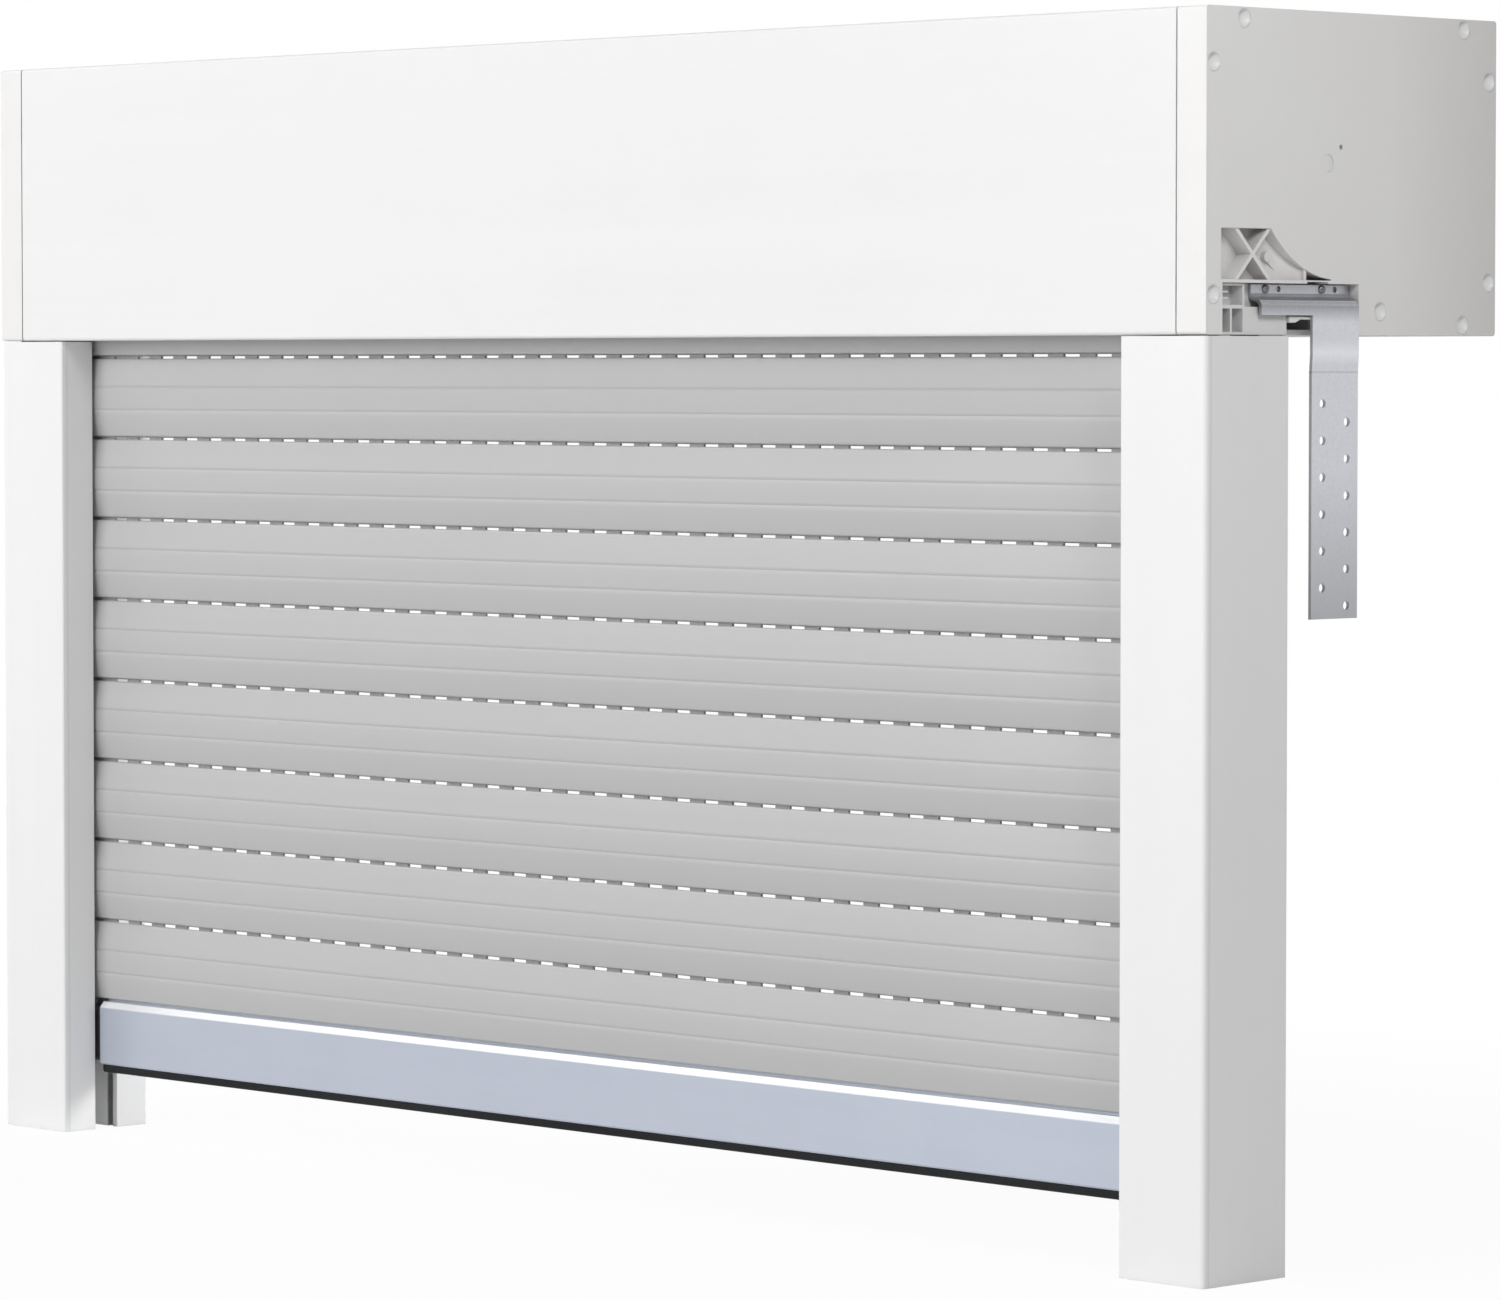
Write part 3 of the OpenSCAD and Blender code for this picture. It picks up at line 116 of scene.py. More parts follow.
# Bottom bar and the ends of its crest, worn and with a painted highlight, in metres
BAR_H = 40.5 * MM
BAR_SLOPE = 3.75 * MM
CREST_BLUR = 0.5 * MM
CREST_EDGE = 0.1 * MM

# Rails: strip behind their front edges, in metres
STRIP_W = 4.3 * MM
STRIP_RISE = 0.9 * MM

# End caps: length of the painted shade at their rear, in metres
REAR_SHADE_LEN = 90 * MM

# Wall anchors: heights of the joggle, reach of the painted highlight at its bend, and depths of painted shade
# below the top, in metres
JOGGLE_TOP = -10.6 * MM
JOGGLE_LOW = -20 * MM
HIGHLIGHT_BELOW = 6 * MM
HIGHLIGHT_HELD = 2 * MM
HIGHLIGHT_ABOVE = 8 * MM
FLANGE_SHADE_HIGH = 6.5 * MM
FLANGE_SHADE_FULL = 9.5 * MM
FLANGE_SHADE_LOW = 20 * MM
LOWER_SHADE_FROM = 100 * MM
LOWER_SHADE_FULL = 180 * MM

# Brushes of the rails, in metres and radians
BRUSH_BACK = 1.2 * MM
PILE_W = 2.8 * MM
PILE_LEN = 3.25 * MM
PILE_ROWS = 6
PILE_STEP = 0.55 * MM
PILE_STRAY = (0.3 * PILE_STEP, 0, 0.4 * PILE_STEP)
PILE_END_RADII = 8.0
BRISTLE_R = 0.14 * MM
BRISTLE_TIP_R = 0.05 * MM
BRISTLE_SIDES = 3
BRISTLE_LEAN = 0.14
BRISTLE_SPIN = 2.0
STRAY_SEED = 11
LEAN_SEED = 23

# Screws of the wall anchors, in metres and radians
HEAD_R = 2.3 * MM
HEAD_H = 1.8 * MM
HEAD_RIM = 0.45 * HEAD_H
DOME_FLAT = 0.25
SHANK_R = 1.4 * MM
THREAD_PITCH = 1.1 * MM
THREAD_DEPTH = 0.3 * MM
THREAD_STEPS = 8
POINT_LEN = 1.5 * THREAD_PITCH
POINT_TIP = 0.12
SCREW_SIDES = 24
SCREW_TURN = 0.5
RECESS_SPAN = 2.4 * MM
RECESS_W = 0.55 * MM
RECESS_DEEP = 1.0 * MM

# Suspension straps: length of the pieces that they bend in, and what counts as one point, in metres
STRAP_STEP = 4 * MM
WELD = 0.001 * MM

# Directions: stretch of the hairlines, and what a painted shade faces
ALONG_X = (0.004, 1.0, 1.0)
ALONG_Z = (1.0, 1.0, 0.004)
EVENLY = (1, 1, 1)
DOWN = (0, 0, -1)
UNDER_RIM = (0, 0.6, -0.8)

# Surfaces: spans of noise, of cosines to an edge or a painted shade, and of what lies at borders and in
# corners
NOISE_SPAN = (0.3, 0.7)
LINE_SPAN = (0.32, 0.68)
BLOOM_SPAN = (0.42, 0.72)
PATCH_SPAN = (0.35, 0.65)
EDGE_SPAN = (0.995, 0.88)
SLAT_SHADE_SPAN = (-0.07, 0.2)
RIM_SHADE_SPAN = (0.2, 0.7)
CORNER_SPAN = (0.75, 0.25)
BORDER_SPAN = (0.0, 0.12)
SEAM_SPAN = (0.0, 0.1)

# Surfaces: features to a metre, depth and bend of fine ones in metres
HAIRLINES = 1400.0
HAIRLINE_DEEP = 0.006 * MM
BAND_SHARE = 0.06
PROFILE_DEEP = 0.01 * MM
ZINC_DEEP = 0.02 * MM
BEAD_DEEP = 0.6 * MM
ZINC_RIPPLES = 420.0
ZINC_BLOOMS = 38.0
ZINC_WOBBLE = (4 * MM, 4 * MM, 4 * MM)
DUST_PATCHES = 60.0
BEADS = 280.0

# Places that finishes take from the frame
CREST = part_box("bottom_bar")[0].z + BAR_H
ANCHOR_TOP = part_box("wall_anchor_right")[1].z
RAIL_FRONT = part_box("guide_rail_right")[0].y
CAP_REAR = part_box("end_cap_right")[1].y

# Kinds of sockets
FLOAT = "NodeSocketFloat"
WHOLE = "NodeSocketInt"
VECTOR = "NodeSocketVector"
OBJECT = "NodeSocketObject"
MATERIAL = "NodeSocketMaterial"
GEOMETRY = "NodeSocketGeometry"


# Node tree helpers

def node(tree, kind, inputs=None, **settings):
    """A new node, with its settings and the values or links of its input sockets."""
    made = tree.nodes.new(kind)
    for key, value in settings.items():
        setattr(made, key, value)
    for key, value in (inputs or {}).items():
        if isinstance(value, bpy.types.NodeSocket):
            tree.links.new(value, made.inputs[key])
        else:
            made.inputs[key].default_value = value
    return made


def new_group(name, kind, inputs, outputs):
    """A node group with named sockets: the tree, what comes in and what goes out."""
    tree = bpy.data.node_groups.new(name, kind)
    for label, socket, value in inputs:
        made = tree.interface.new_socket(label, in_out="INPUT", socket_type=socket)
        if value is not None:
            made.default_value = value
    for label, socket in outputs:
        tree.interface.new_socket(label, in_out="OUTPUT", socket_type=socket)
    return tree, tree.nodes.new("NodeGroupInput").outputs, tree.nodes.new("NodeGroupOutput").inputs


def math_node(tree, operation, a, b):
    return node(tree, "ShaderNodeMath", {0: a, 1: b}, operation=operation).outputs[0]


def times(tree, a, b):
    return math_node(tree, "MULTIPLY", a, b)


def vector_math(tree, operation, a, b):
    """Result of two vectors: a number for a dot product or a distance, or else a vector."""
    made = node(tree, "ShaderNodeVectorMath", {0: a, 1: b}, operation=operation)
    return made.outputs["Value" if operation in ("DOT_PRODUCT", "DISTANCE") else "Vector"]


def blend_colour(tree, factor, a, b):
    return node(tree, "ShaderNodeMix", {0: factor, 6: a, 7: b}, data_type="RGBA").outputs[2]


def spread(tree, value, low, high, to_low=0.0, to_high=1.0):
    """Value mapped from low..high to another range, held at its ends."""
    sockets = {"Value": value, "From Min": low, "From Max": high, "To Min": to_low, "To Max": to_high}
    return node(tree, "ShaderNodeMapRange", sockets).outputs["Result"]


def noise(tree, vector, scale, detail=3.0, roughness=0.55):
    sockets = {"Vector": vector, "Scale": scale, "Detail": detail, "Roughness": roughness}
    return node(tree, "ShaderNodeTexNoise", sockets).outputs[0]


def object_place(tree):
    return tree.nodes.new("ShaderNodeTexCoord").outputs["Object"]


def object_axis(tree, axis):
    return node(tree, "ShaderNodeSeparateXYZ", {0: object_place(tree)}).outputs[axis]


def surface_normal(tree):
    return tree.nodes.new("ShaderNodeNewGeometry").outputs["Normal"]


def cells(tree, vector, scale):
    """Cells round scattered points: a random shade for each, and the distance to its border."""
    sockets = {"Vector": vector, "Scale": scale}
    tones = node(tree, "ShaderNodeTexVoronoi", sockets).outputs["Color"]
    border = node(tree, "ShaderNodeTexVoronoi", sockets, feature="DISTANCE_TO_EDGE").outputs["Distance"]
    return node(tree, "ShaderNodeSeparateColor", {0: tones}).outputs[0], border


def fine_line(tree, place, level, core, edge, strength):
    """Mask of a line at a level of one axis: at its strength over the core, gone at the edge."""
    offset = math_node(tree, "SUBTRACT", place, level)
    away = node(tree, "ShaderNodeMath", {0: offset}, operation="ABSOLUTE").outputs[0]
    return spread(tree, away, core, edge, strength, 0.0)


def grey(value, warm=0.0):
    """A grey in linear light, slightly warm where warm is above 0 and cool where it is below."""
    return (value * (1 + warm), value, value * (1 - warm), 1.0)


# Effects that several finishes share

def soft_edges_group():
    """Rounded look of small edges, and where they are."""
    tree, entry, out = new_group("soft_edges", "ShaderNodeTree", [("Radius", FLOAT, 0.4 * MM)],
                                 [("Normal", VECTOR), ("Edge", FLOAT)])
    rounded = node(tree, "ShaderNodeBevel", {"Radius": entry["Radius"]}, samples=6).outputs[0]
    same = vector_math(tree, "DOT_PRODUCT", rounded, surface_normal(tree))
    tree.links.new(rounded, out["Normal"])
    tree.links.new(spread(tree, same, *EDGE_SPAN), out["Edge"])
    return tree


def moulded_skin_group():
    """Fine grain of a moulded surface, with slow clouds of tone."""
    tree, entry, out = new_group("moulded_skin", "ShaderNodeTree",
                                 [("Grain", FLOAT, 1500.0), ("Clouds", FLOAT, 7.0)],
                                 [("Height", FLOAT), ("Tone", FLOAT)])
    place = object_place(tree)
    clouds = noise(tree, place, entry["Clouds"], detail=4.0)
    tree.links.new(noise(tree, place, entry["Grain"], detail=2.0), out["Height"])
    tree.links.new(spread(tree, clouds, *NOISE_SPAN), out["Tone"])
    return tree


def drawn_lines_group():
    """Hairlines that a die leaves along an extruded profile."""
    tree, entry, out = new_group("drawn_lines", "ShaderNodeTree",
                                 [("Stretch", VECTOR, EVENLY), ("Fine", FLOAT, 900.0)],
                                 [("Height", FLOAT), ("Tone", FLOAT)])
    drawn = vector_math(tree, "MULTIPLY", object_place(tree), entry["Stretch"])
    bands = noise(tree, drawn, times(tree, entry["Fine"], BAND_SHARE))
    tree.links.new(noise(tree, drawn, entry["Fine"], roughness=0.6), out["Height"])
    tree.links.new(spread(tree, bands, *LINE_SPAN), out["Tone"])
    return tree


def zinc_flowers_group():
    """Crystals of a hot dipped zinc coat: flakes, their borders and a dull bloom."""
    tree, entry, out = new_group("zinc_flowers", "ShaderNodeTree", [("Flakes", FLOAT, 260.0)],
                                 [("Flake", FLOAT), ("Border", FLOAT), ("Bloom", FLOAT)])
    place = object_place(tree)
    ripples = {"Vector": place, "Scale": ZINC_RIPPLES, "Detail": 2.0}
    wobble = node(tree, "ShaderNodeTexNoise", ripples).outputs["Color"]
    bent = vector_math(tree, "ADD", place, vector_math(tree, "MULTIPLY", wobble, ZINC_WOBBLE))
    shade, border = cells(tree, bent, entry["Flakes"])
    bloom = noise(tree, place, ZINC_BLOOMS, detail=5.0, roughness=0.65)
    tree.links.new(shade, out["Flake"])
    tree.links.new(spread(tree, border, *BORDER_SPAN, to_low=1.0, to_high=0.0), out["Border"])
    tree.links.new(spread(tree, bloom, *BLOOM_SPAN), out["Bloom"])
    return tree


def corner_dust_and_shade_group():
    """Where dust settles and shade is painted: in patches along corners, darker where they are deep."""
    tree, entry, out = new_group("corner_dust", "ShaderNodeTree", [("Reach", FLOAT, 6 * MM)],
                                 [("Dust", FLOAT)])
    open_sky = node(tree, "ShaderNodeAmbientOcclusion", {"Distance": entry["Reach"]}, samples=6).outputs["AO"]
    patches = noise(tree, object_place(tree), DUST_PATCHES, detail=4.0)
    patchy = spread(tree, patches, *PATCH_SPAN, to_low=0.4)
    tree.links.new(times(tree, spread(tree, open_sky, *CORNER_SPAN), patchy), out["Dust"])
    return tree


SOFT_EDGES = soft_edges_group()
MOULDED_SKIN = moulded_skin_group()
DRAWN_LINES = drawn_lines_group()
ZINC_FLOWERS = zinc_flowers_group()
CORNER_DUST_AND_SHADE = corner_dust_and_shade_group()


def effect(tree, group, **inputs):
    """One of the shared effects, placed in a material with its own values."""
    made = node(tree, "ShaderNodeGroup", node_tree=group)
    for key, value in inputs.items():
        made.inputs[key].default_value = value
    return made.outputs


def new_material(name):
    """An empty material: its tree and its shader."""
    material = bpy.data.materials.new(name)
    material.use_nodes = True
    return material, material.node_tree, material.node_tree.nodes["Principled BSDF"]


def set_surface(tree, shader, colour, roughness, normal):
    tree.links.new(colour, shader.inputs["Base Color"])
    tree.links.new(roughness, shader.inputs["Roughness"])
    tree.links.new(normal, shader.inputs["Normal"])


def bumped(tree, height, depth, normal):
    sockets = {"Strength": 1.0, "Distance": depth, "Height": height, "Normal": normal}
    return node(tree, "ShaderNodeBump", sockets).outputs[0]


def tinted(tree, colour, mask, share, tint):
    """The colour, turned towards a tint by a share of a mask."""
    return blend_colour(tree, times(tree, mask, share), colour, tint)


def painted_shade_facing(tree, colour, direction, span, most, shade):
    """The colour, turned towards a painted shade where the surface faces a direction."""
    under = vector_math(tree, "DOT_PRODUCT", surface_normal(tree), direction)
    return blend_colour(tree, spread(tree, under, *span, to_high=most), colour, shade)


def edge_strip(tree, colour, normal, front):
    """Colour and normal of a profile with a canted strip and a fine line behind its front edges."""
    back = object_axis(tree, "Y")
    line = fine_line(tree, back, front + STRIP_W, core=0.3 * MM, edge=1.0 * MM, strength=0.3)
    canted = bumped(tree, spread(tree, back, front, front + STRIP_W), STRIP_RISE, normal)
    return blend_colour(tree, line, colour, grey(0.55)), canted


def extruded_plastic(name, light, dark, stretch, rough=(0.34, 0.44), under=None, front=None):
    """Drawn plastic profile: hairlines along its length, soft edges and a trace of dust and painted shade in
    corners.

    A painted shade may lie on what faces down, and a strip behind the front edges."""
    material, tree, shader = new_material(name)
    edges = effect(tree, SOFT_EDGES, Radius=0.5 * MM)
    lines = effect(tree, DRAWN_LINES, Stretch=stretch)
    skin = effect(tree, MOULDED_SKIN, Grain=2600.0, Clouds=5.0)
    dust_and_shade = effect(tree, CORNER_DUST_AND_SHADE)
    colour = blend_colour(tree, times(tree, lines["Tone"], skin["Tone"]), light, dark)
    # Dust and painted shade, darker in corners
    colour = tinted(tree, colour, dust_and_shade["Dust"], share=0.25, tint=grey(0.34, 0.03))
    normal = edges["Normal"]
    # Painted shade: darker where the surface faces down
    if under:
        colour = painted_shade_facing(tree, colour, DOWN, SLAT_SHADE_SPAN, most=1.0, shade=under)
    if front is not None:
        colour, normal = edge_strip(tree, colour, normal, front)
    height = math_node(tree, "ADD", lines["Height"], times(tree, skin["Height"], 0.5))
    set_surface(tree, shader, colour, spread(tree, lines["Height"], *NOISE_SPAN, *rough),
                bumped(tree, height, PROFILE_DEEP, normal))
    return material


def moulded_plastic(name, light, dark, rough=(0.42, 0.55), grain=1500.0, depth=0.03 * MM, dust_shade_share=0.35,
                    reach=6 * MM, shine=0.5, edge=None, painted_rim_shade=None, painted_rear_shade=None):
    """Injection moulded plastic: fine spark grain, slow tone clouds, soft edges and dust and painted shade in
    its corners.

    Edges may be worn, and a painted shade may lie under rims or darken the colour towards the rear."""
    material, tree, shader = new_material(name)
    edges = effect(tree, SOFT_EDGES, Radius=0.5 * MM)
    skin = effect(tree, MOULDED_SKIN, Grain=grain)
    dust_and_shade = effect(tree, CORNER_DUST_AND_SHADE, Reach=reach)
    shader.inputs["Specular IOR Level"].default_value = shine
    colour = blend_colour(tree, skin["Tone"], light, dark)
    # Dust and painted shade in corners; a long reach paints shade deep into hollows
    colour = tinted(tree, colour, dust_and_shade["Dust"], share=dust_shade_share, tint=grey(0.22, 0.05))
    if edge:
        colour = tinted(tree, colour, edges["Edge"], share=0.6, tint=edge)
    # Painted shade under the upper rim of a dish
    if painted_rim_shade:
        colour = painted_shade_facing(tree, colour, UNDER_RIM, RIM_SHADE_SPAN, most=0.7, shade=painted_rim_shade)
    # Painted shade: darker towards the rear
    if painted_rear_shade:
        rear = spread(tree, object_axis(tree, "Y"), CAP_REAR - REAR_SHADE_LEN, CAP_REAR)
        colour = blend_colour(tree, rear, colour, painted_rear_shade)
    set_surface(tree, shader, colour, spread(tree, skin["Height"], *NOISE_SPAN, *rough),
                bumped(tree, skin["Height"], depth, edges["Normal"]))
    return material


def anchor_painted_light(tree, colour, top):
    """Painted light on a wall anchor: painted shade round the flange's bend, a painted highlight on the
    joggle, a painted shade line below it, and painted shade darkening the lower end.
    """
    height = object_axis(tree, "Z")
    lower_shade = spread(tree, height, top - LOWER_SHADE_FROM, top - LOWER_SHADE_FULL, to_high=0.8)
    flange_shade_below = spread(tree, height, top - FLANGE_SHADE_LOW, top - FLANGE_SHADE_FULL, to_high=0.7)
    flange_shade_above = spread(tree, height, top - FLANGE_SHADE_FULL, top - FLANGE_SHADE_HIGH, to_low=1.0, to_high=0.4)
    joggle_highlight_below = spread(tree, height, JOGGLE_TOP - HIGHLIGHT_BELOW, JOGGLE_TOP, to_high=0.45)
    joggle_highlight_above = spread(tree, height, JOGGLE_TOP + HIGHLIGHT_HELD, JOGGLE_TOP + HIGHLIGHT_ABOVE, 1.0, 0.0)
    # A painted shade line below the joggle
    line = fine_line(tree, height, JOGGLE_LOW, core=0.2 * MM, edge=0.7 * MM, strength=0.4)
    # Painted shade: darker towards the lower end
    colour = blend_colour(tree, lower_shade, colour, grey(0.36, -0.03))
    # Painted shade round the flange's bend
    colour = blend_colour(tree, times(tree, flange_shade_below, flange_shade_above), colour, grey(0.08, -0.03))
    # Painted highlight on the joggle
    colour = blend_colour(tree, times(tree, joggle_highlight_below, joggle_highlight_above), colour, grey(0.85, -0.02))
    return blend_colour(tree, line, colour, grey(0.3, -0.03))


def zinc_coated(name, light, dark, flakes, rough=(0.38, 0.46), anchor_top=None):
    """Galvanised sheet: zinc crystals under a dull bloom, darker cut edges, and on a wall anchor painted
    shade and a painted highlight.
    """
    material, tree, shader = new_material(name)
    edges = effect(tree, SOFT_EDGES, Radius=0.35 * MM)
    zinc = effect(tree, ZINC_FLOWERS, Flakes=flakes)
    colour = blend_colour(tree, zinc["Flake"], light, dark)
    colour = tinted(tree, colour, zinc["Bloom"], share=0.25, tint=light)
    colour = tinted(tree, colour, zinc["Border"], share=0.15, tint=dark)
    if anchor_top is not None:
        colour = anchor_painted_light(tree, colour, anchor_top)
    colour = tinted(tree, colour, edges["Edge"], share=0.2, tint=grey(0.3))
    shader.inputs["Metallic"].default_value = 0.75
    set_surface(tree, shader, colour, spread(tree, zinc["Flake"], 0.0, 1.0, *rough),
                bumped(tree, zinc["Bloom"], ZINC_DEEP, edges["Normal"]))
    return material


def drawn_metal(name, light, dark, stretch, rough, edge):
    """Metal with hairlines along one direction and bright edges."""
    material, tree, shader = new_material(name)
    edges = effect(tree, SOFT_EDGES, Radius=0.4 * MM)
    lines = effect(tree, DRAWN_LINES, Stretch=stretch, Fine=HAIRLINES)
    skin = effect(tree, MOULDED_SKIN, Grain=700.0, Clouds=26.0)
    colour = blend_colour(tree, times(tree, lines["Tone"], skin["Tone"]), light, dark)
    colour = tinted(tree, colour, edges["Edge"], share=0.6, tint=edge)
    shader.inputs["Metallic"].default_value = 1.0
    set_surface(tree, shader, colour, spread(tree, lines["Height"], *NOISE_SPAN, *rough),
                bumped(tree, lines["Height"], HAIRLINE_DEEP, edges["Normal"]))
    return material


def bar_metal(name, light, dark, crest_worn_highlight, rough, crest_low, crest_high):
    """Anodised bar: hairlines along its length and a crest between two heights that is worn and lighter by a
    painted highlight.
    """
    material, tree, shader = new_material(name)
    edges = effect(tree, SOFT_EDGES, Radius=0.3 * MM)
    lines = effect(tree, DRAWN_LINES, Stretch=ALONG_X, Fine=HAIRLINES)
    skin = effect(tree, MOULDED_SKIN, Grain=700.0, Clouds=26.0)
    height = object_axis(tree, "Z")
    above = spread(tree, height, crest_low - CREST_BLUR, crest_low + CREST_BLUR)
    below = spread(tree, height, crest_high, crest_high + CREST_EDGE, 1.0, 0.0)
    wear_and_highlight = times(tree, above, below)
    colour = blend_colour(tree, times(tree, lines["Tone"], skin["Tone"]), light, dark)
    # The crest: wear, and a painted highlight
    colour = blend_colour(tree, wear_and_highlight, colour, crest_worn_highlight)
    metal = spread(tree, wear_and_highlight, 0.0, 1.0, to_low=0.45, to_high=0.1)
    tree.links.new(metal, shader.inputs["Metallic"])
    set_surface(tree, shader, colour, spread(tree, lines["Height"], *NOISE_SPAN, *rough),
                bumped(tree, lines["Height"], HAIRLINE_DEEP, edges["Normal"]))
    return material


def bead_foam(name, light, dark, rough):
    """Expanded foam: closely packed beads with dark seams."""
    material, tree, shader = new_material(name)
    edges = effect(tree, SOFT_EDGES, Radius=1.0 * MM)
    shade, border = cells(tree, object_place(tree), BEADS)
    seam = spread(tree, border, *SEAM_SPAN, to_low=0.5, to_high=0.0)
    colour = blend_colour(tree, shade, light, dark)
    colour = blend_colour(tree, seam, colour, grey(0.2))
    set_surface(tree, shader, colour, spread(tree, shade, 0.0, 1.0, *rough),
                bumped(tree, border, BEAD_DEEP, edges["Normal"]))
    return material


FINISH = {
    "panel_pvc": extruded_plastic("panel_pvc", grey(0.835), grey(0.815), ALONG_X, rough=(0.5, 0.62)),
    "rail_pvc": extruded_plastic("rail_pvc", grey(0.86), grey(0.84), ALONG_Z, front=RAIL_FRONT),
    # Slats carry a painted shade on what faces down
    "slat_pvc": extruded_plastic(
        "slat_pvc", grey(0.515), grey(0.485), ALONG_X, rough=(0.38, 0.5), under=grey(0.46)),
    # End caps carry a painted shade towards their rear
    "cap_plastic": moulded_plastic(
        "cap_plastic", grey(0.84, 0.006), grey(0.80, 0.014), dust_shade_share=0.5, reach=14 * MM,
        painted_rear_shade=grey(0.69, 0.02)),
    "inlet_plastic": moulded_plastic("inlet_plastic", grey(0.78), grey(0.74), dust_shade_share=0.5, reach=10 * MM),
    # Pins carry a painted shade under the upper rims of their dishes
    "pin_plastic": moulded_plastic(
        "pin_plastic", grey(0.85), grey(0.82), rough=(0.3, 0.4), grain=900.0, depth=0.005 * MM, dust_shade_share=0.5,
        reach=4 * MM, painted_rim_shade=grey(0.33, 0.02)),
    "black_plastic": moulded_plastic(
        "black_plastic", grey(0.035), grey(0.05), rough=(0.45, 0.6), grain=1100.0, depth=0.05 * MM, dust_shade_share=0.2,
        edge=grey(0.1)),
    "glider_plastic": moulded_plastic(
        "glider_plastic", grey(0.04), grey(0.055), rough=(0.35, 0.5), grain=1200.0, dust_shade_share=0.2),
    "seal_rubber": moulded_plastic(
        "seal_rubber", grey(0.011, -0.05), grey(0.018, -0.05), rough=(0.6, 0.75), grain=900.0,
        depth=0.05 * MM, dust_shade_share=0.3, shine=0.15),
    "brush_pile": moulded_plastic(
        "brush_pile", grey(0.56), grey(0.66), rough=(0.6, 0.8), grain=800.0, depth=0.05 * MM, dust_shade_share=0.15),
    "motor_paint": moulded_plastic(
        "motor_paint", grey(0.66, -0.01), grey(0.6, -0.01), rough=(0.3, 0.42), grain=500.0, depth=0.02 * MM,
        dust_shade_share=0.3),
    "galvanised_steel": zinc_coated(
        "galvanised_steel", (0.6, 0.61, 0.645, 1), (0.52, 0.53, 0.565, 1), flakes=260.0, rough=(0.34, 0.52)),
    # Wall anchors carry painted shade and a painted highlight
    "anchor_zinc": zinc_coated(
        "anchor_zinc", (0.63, 0.64, 0.68, 1), (0.58, 0.59, 0.63, 1), flakes=900.0, anchor_top=ANCHOR_TOP),
    "zinc_screws": drawn_metal(
        "zinc_screws", grey(0.2, -0.02), grey(0.13, -0.02), EVENLY, rough=(0.15, 0.26), edge=grey(0.5)),
    "bright_steel": drawn_metal(
        "bright_steel", grey(0.66), grey(0.56), ALONG_X, rough=(0.16, 0.3), edge=grey(0.8)),
    "spring_steel": drawn_metal(
        "spring_steel", grey(0.2, -0.1), grey(0.28, -0.1), ALONG_Z, rough=(0.25, 0.4), edge=grey(0.5)),
    # The bar's crest carries wear and a painted highlight
    "anodised_aluminium": bar_metal(
        "anodised_aluminium", (0.48, 0.52, 0.6, 1), (0.45, 0.49, 0.57, 1), crest_worn_highlight=(0.87, 0.88, 0.91, 1),
        rough=(0.34, 0.46), crest_low=CREST - BAR_SLOPE, crest_high=CREST),
    "bead_foam": bead_foam("bead_foam", grey(0.56, -0.02), grey(0.44, -0.02), rough=(0.7, 0.85)),
}
SLOT_FINISH = {"white_pvc": "panel_pvc", "insulation_foam": "bead_foam"}
NODE_FINISH = {"guide_rail": "rail_pvc", "wall_anchor": "anchor_zinc"}


def dress(obj, finish):
    obj.data.materials.clear()
    obj.data.materials.append(FINISH[finish])


def dress_cad_nodes():
    """Every solid that shows takes the finish of its slot; the rails and the wall anchors have their own."""
    for part in frame["record"]["subparts"]:
        name, slot = part["node"], part["material_slot"]
        own = [finish for start, finish in NODE_FINISH.items() if name.startswith(start)]
        dress(nodes[name], own[0] if own else SLOT_FINISH.get(slot, slot))


dress_cad_nodes()


# Geometry tree helpers

def in_scene(name, data):
    """A new object of this data in the scene."""
    obj = bpy.data.objects.new(name, data)
    bpy.context.scene.collection.objects.link(obj)
    return obj


def made_by(tree, name, **inputs):
    """What a geometry tree makes with these inputs, as a plain mesh object."""
    holder = in_scene(name, bpy.data.meshes.new(name + "_seed"))
    modifier = holder.modifiers.new("make", "NODES")
    modifier.node_group = tree
    for item in tree.interface.items_tree:
        key = item.name.lower().replace(" ", "_")
        if item.in_out == "INPUT" and key in inputs:
            modifier[item.identifier] = inputs[key]
    graph = bpy.context.evaluated_depsgraph_get()
    mesh = bpy.data.meshes.new_from_object(holder.evaluated_get(graph), depsgraph=graph)
    holder.modifiers.clear()
    holder.data = mesh
    mesh.name = name
    return holder


def xyz(tree, x=0.0, y=0.0, z=0.0):
    return node(tree, "ShaderNodeCombineXYZ", {0: x, 1: y, 2: z}).outputs[0]


def shape_of(tree, obj):
    return node(tree, "GeometryNodeObjectInfo", {"Object": obj}).outputs["Geometry"]


def cube(tree, size):
    return node(tree, "GeometryNodeMeshCube", {"Size": size}).outputs[0]


def moved(tree, geometry, **change):
    return node(tree, "GeometryNodeTransform", {"Geometry": geometry, **change}).outputs[0]


def copies(tree, points, piece, **change):
    sockets = {"Points": points, "Instance": piece, **change}
    return node(tree, "GeometryNodeInstanceOnPoints", sockets).outputs[0]


def real(tree, geometry):
    return node(tree, "GeometryNodeRealizeInstances", {0: geometry}).outputs[0]


def cut_by(tree, body, cutter):
    cut = node(tree, "GeometryNodeMeshBoolean", {0: body, 1: cutter}, operation="DIFFERENCE",
               solver="MANIFOLD")
    return cut.outputs[0]


def joined(tree, *parts):
    join = tree.nodes.new("GeometryNodeJoinGeometry")
    for part in parts:
        tree.links.new(part, join.inputs[0])
    return join.outputs[0]


def scattered(tree, low, high, seed):
    """A random vector for each point, between two others."""
    sockets = {0: low, 1: high, 8: seed}
    return node(tree, "FunctionNodeRandomValue", sockets, data_type="FLOAT_VECTOR").outputs[0]


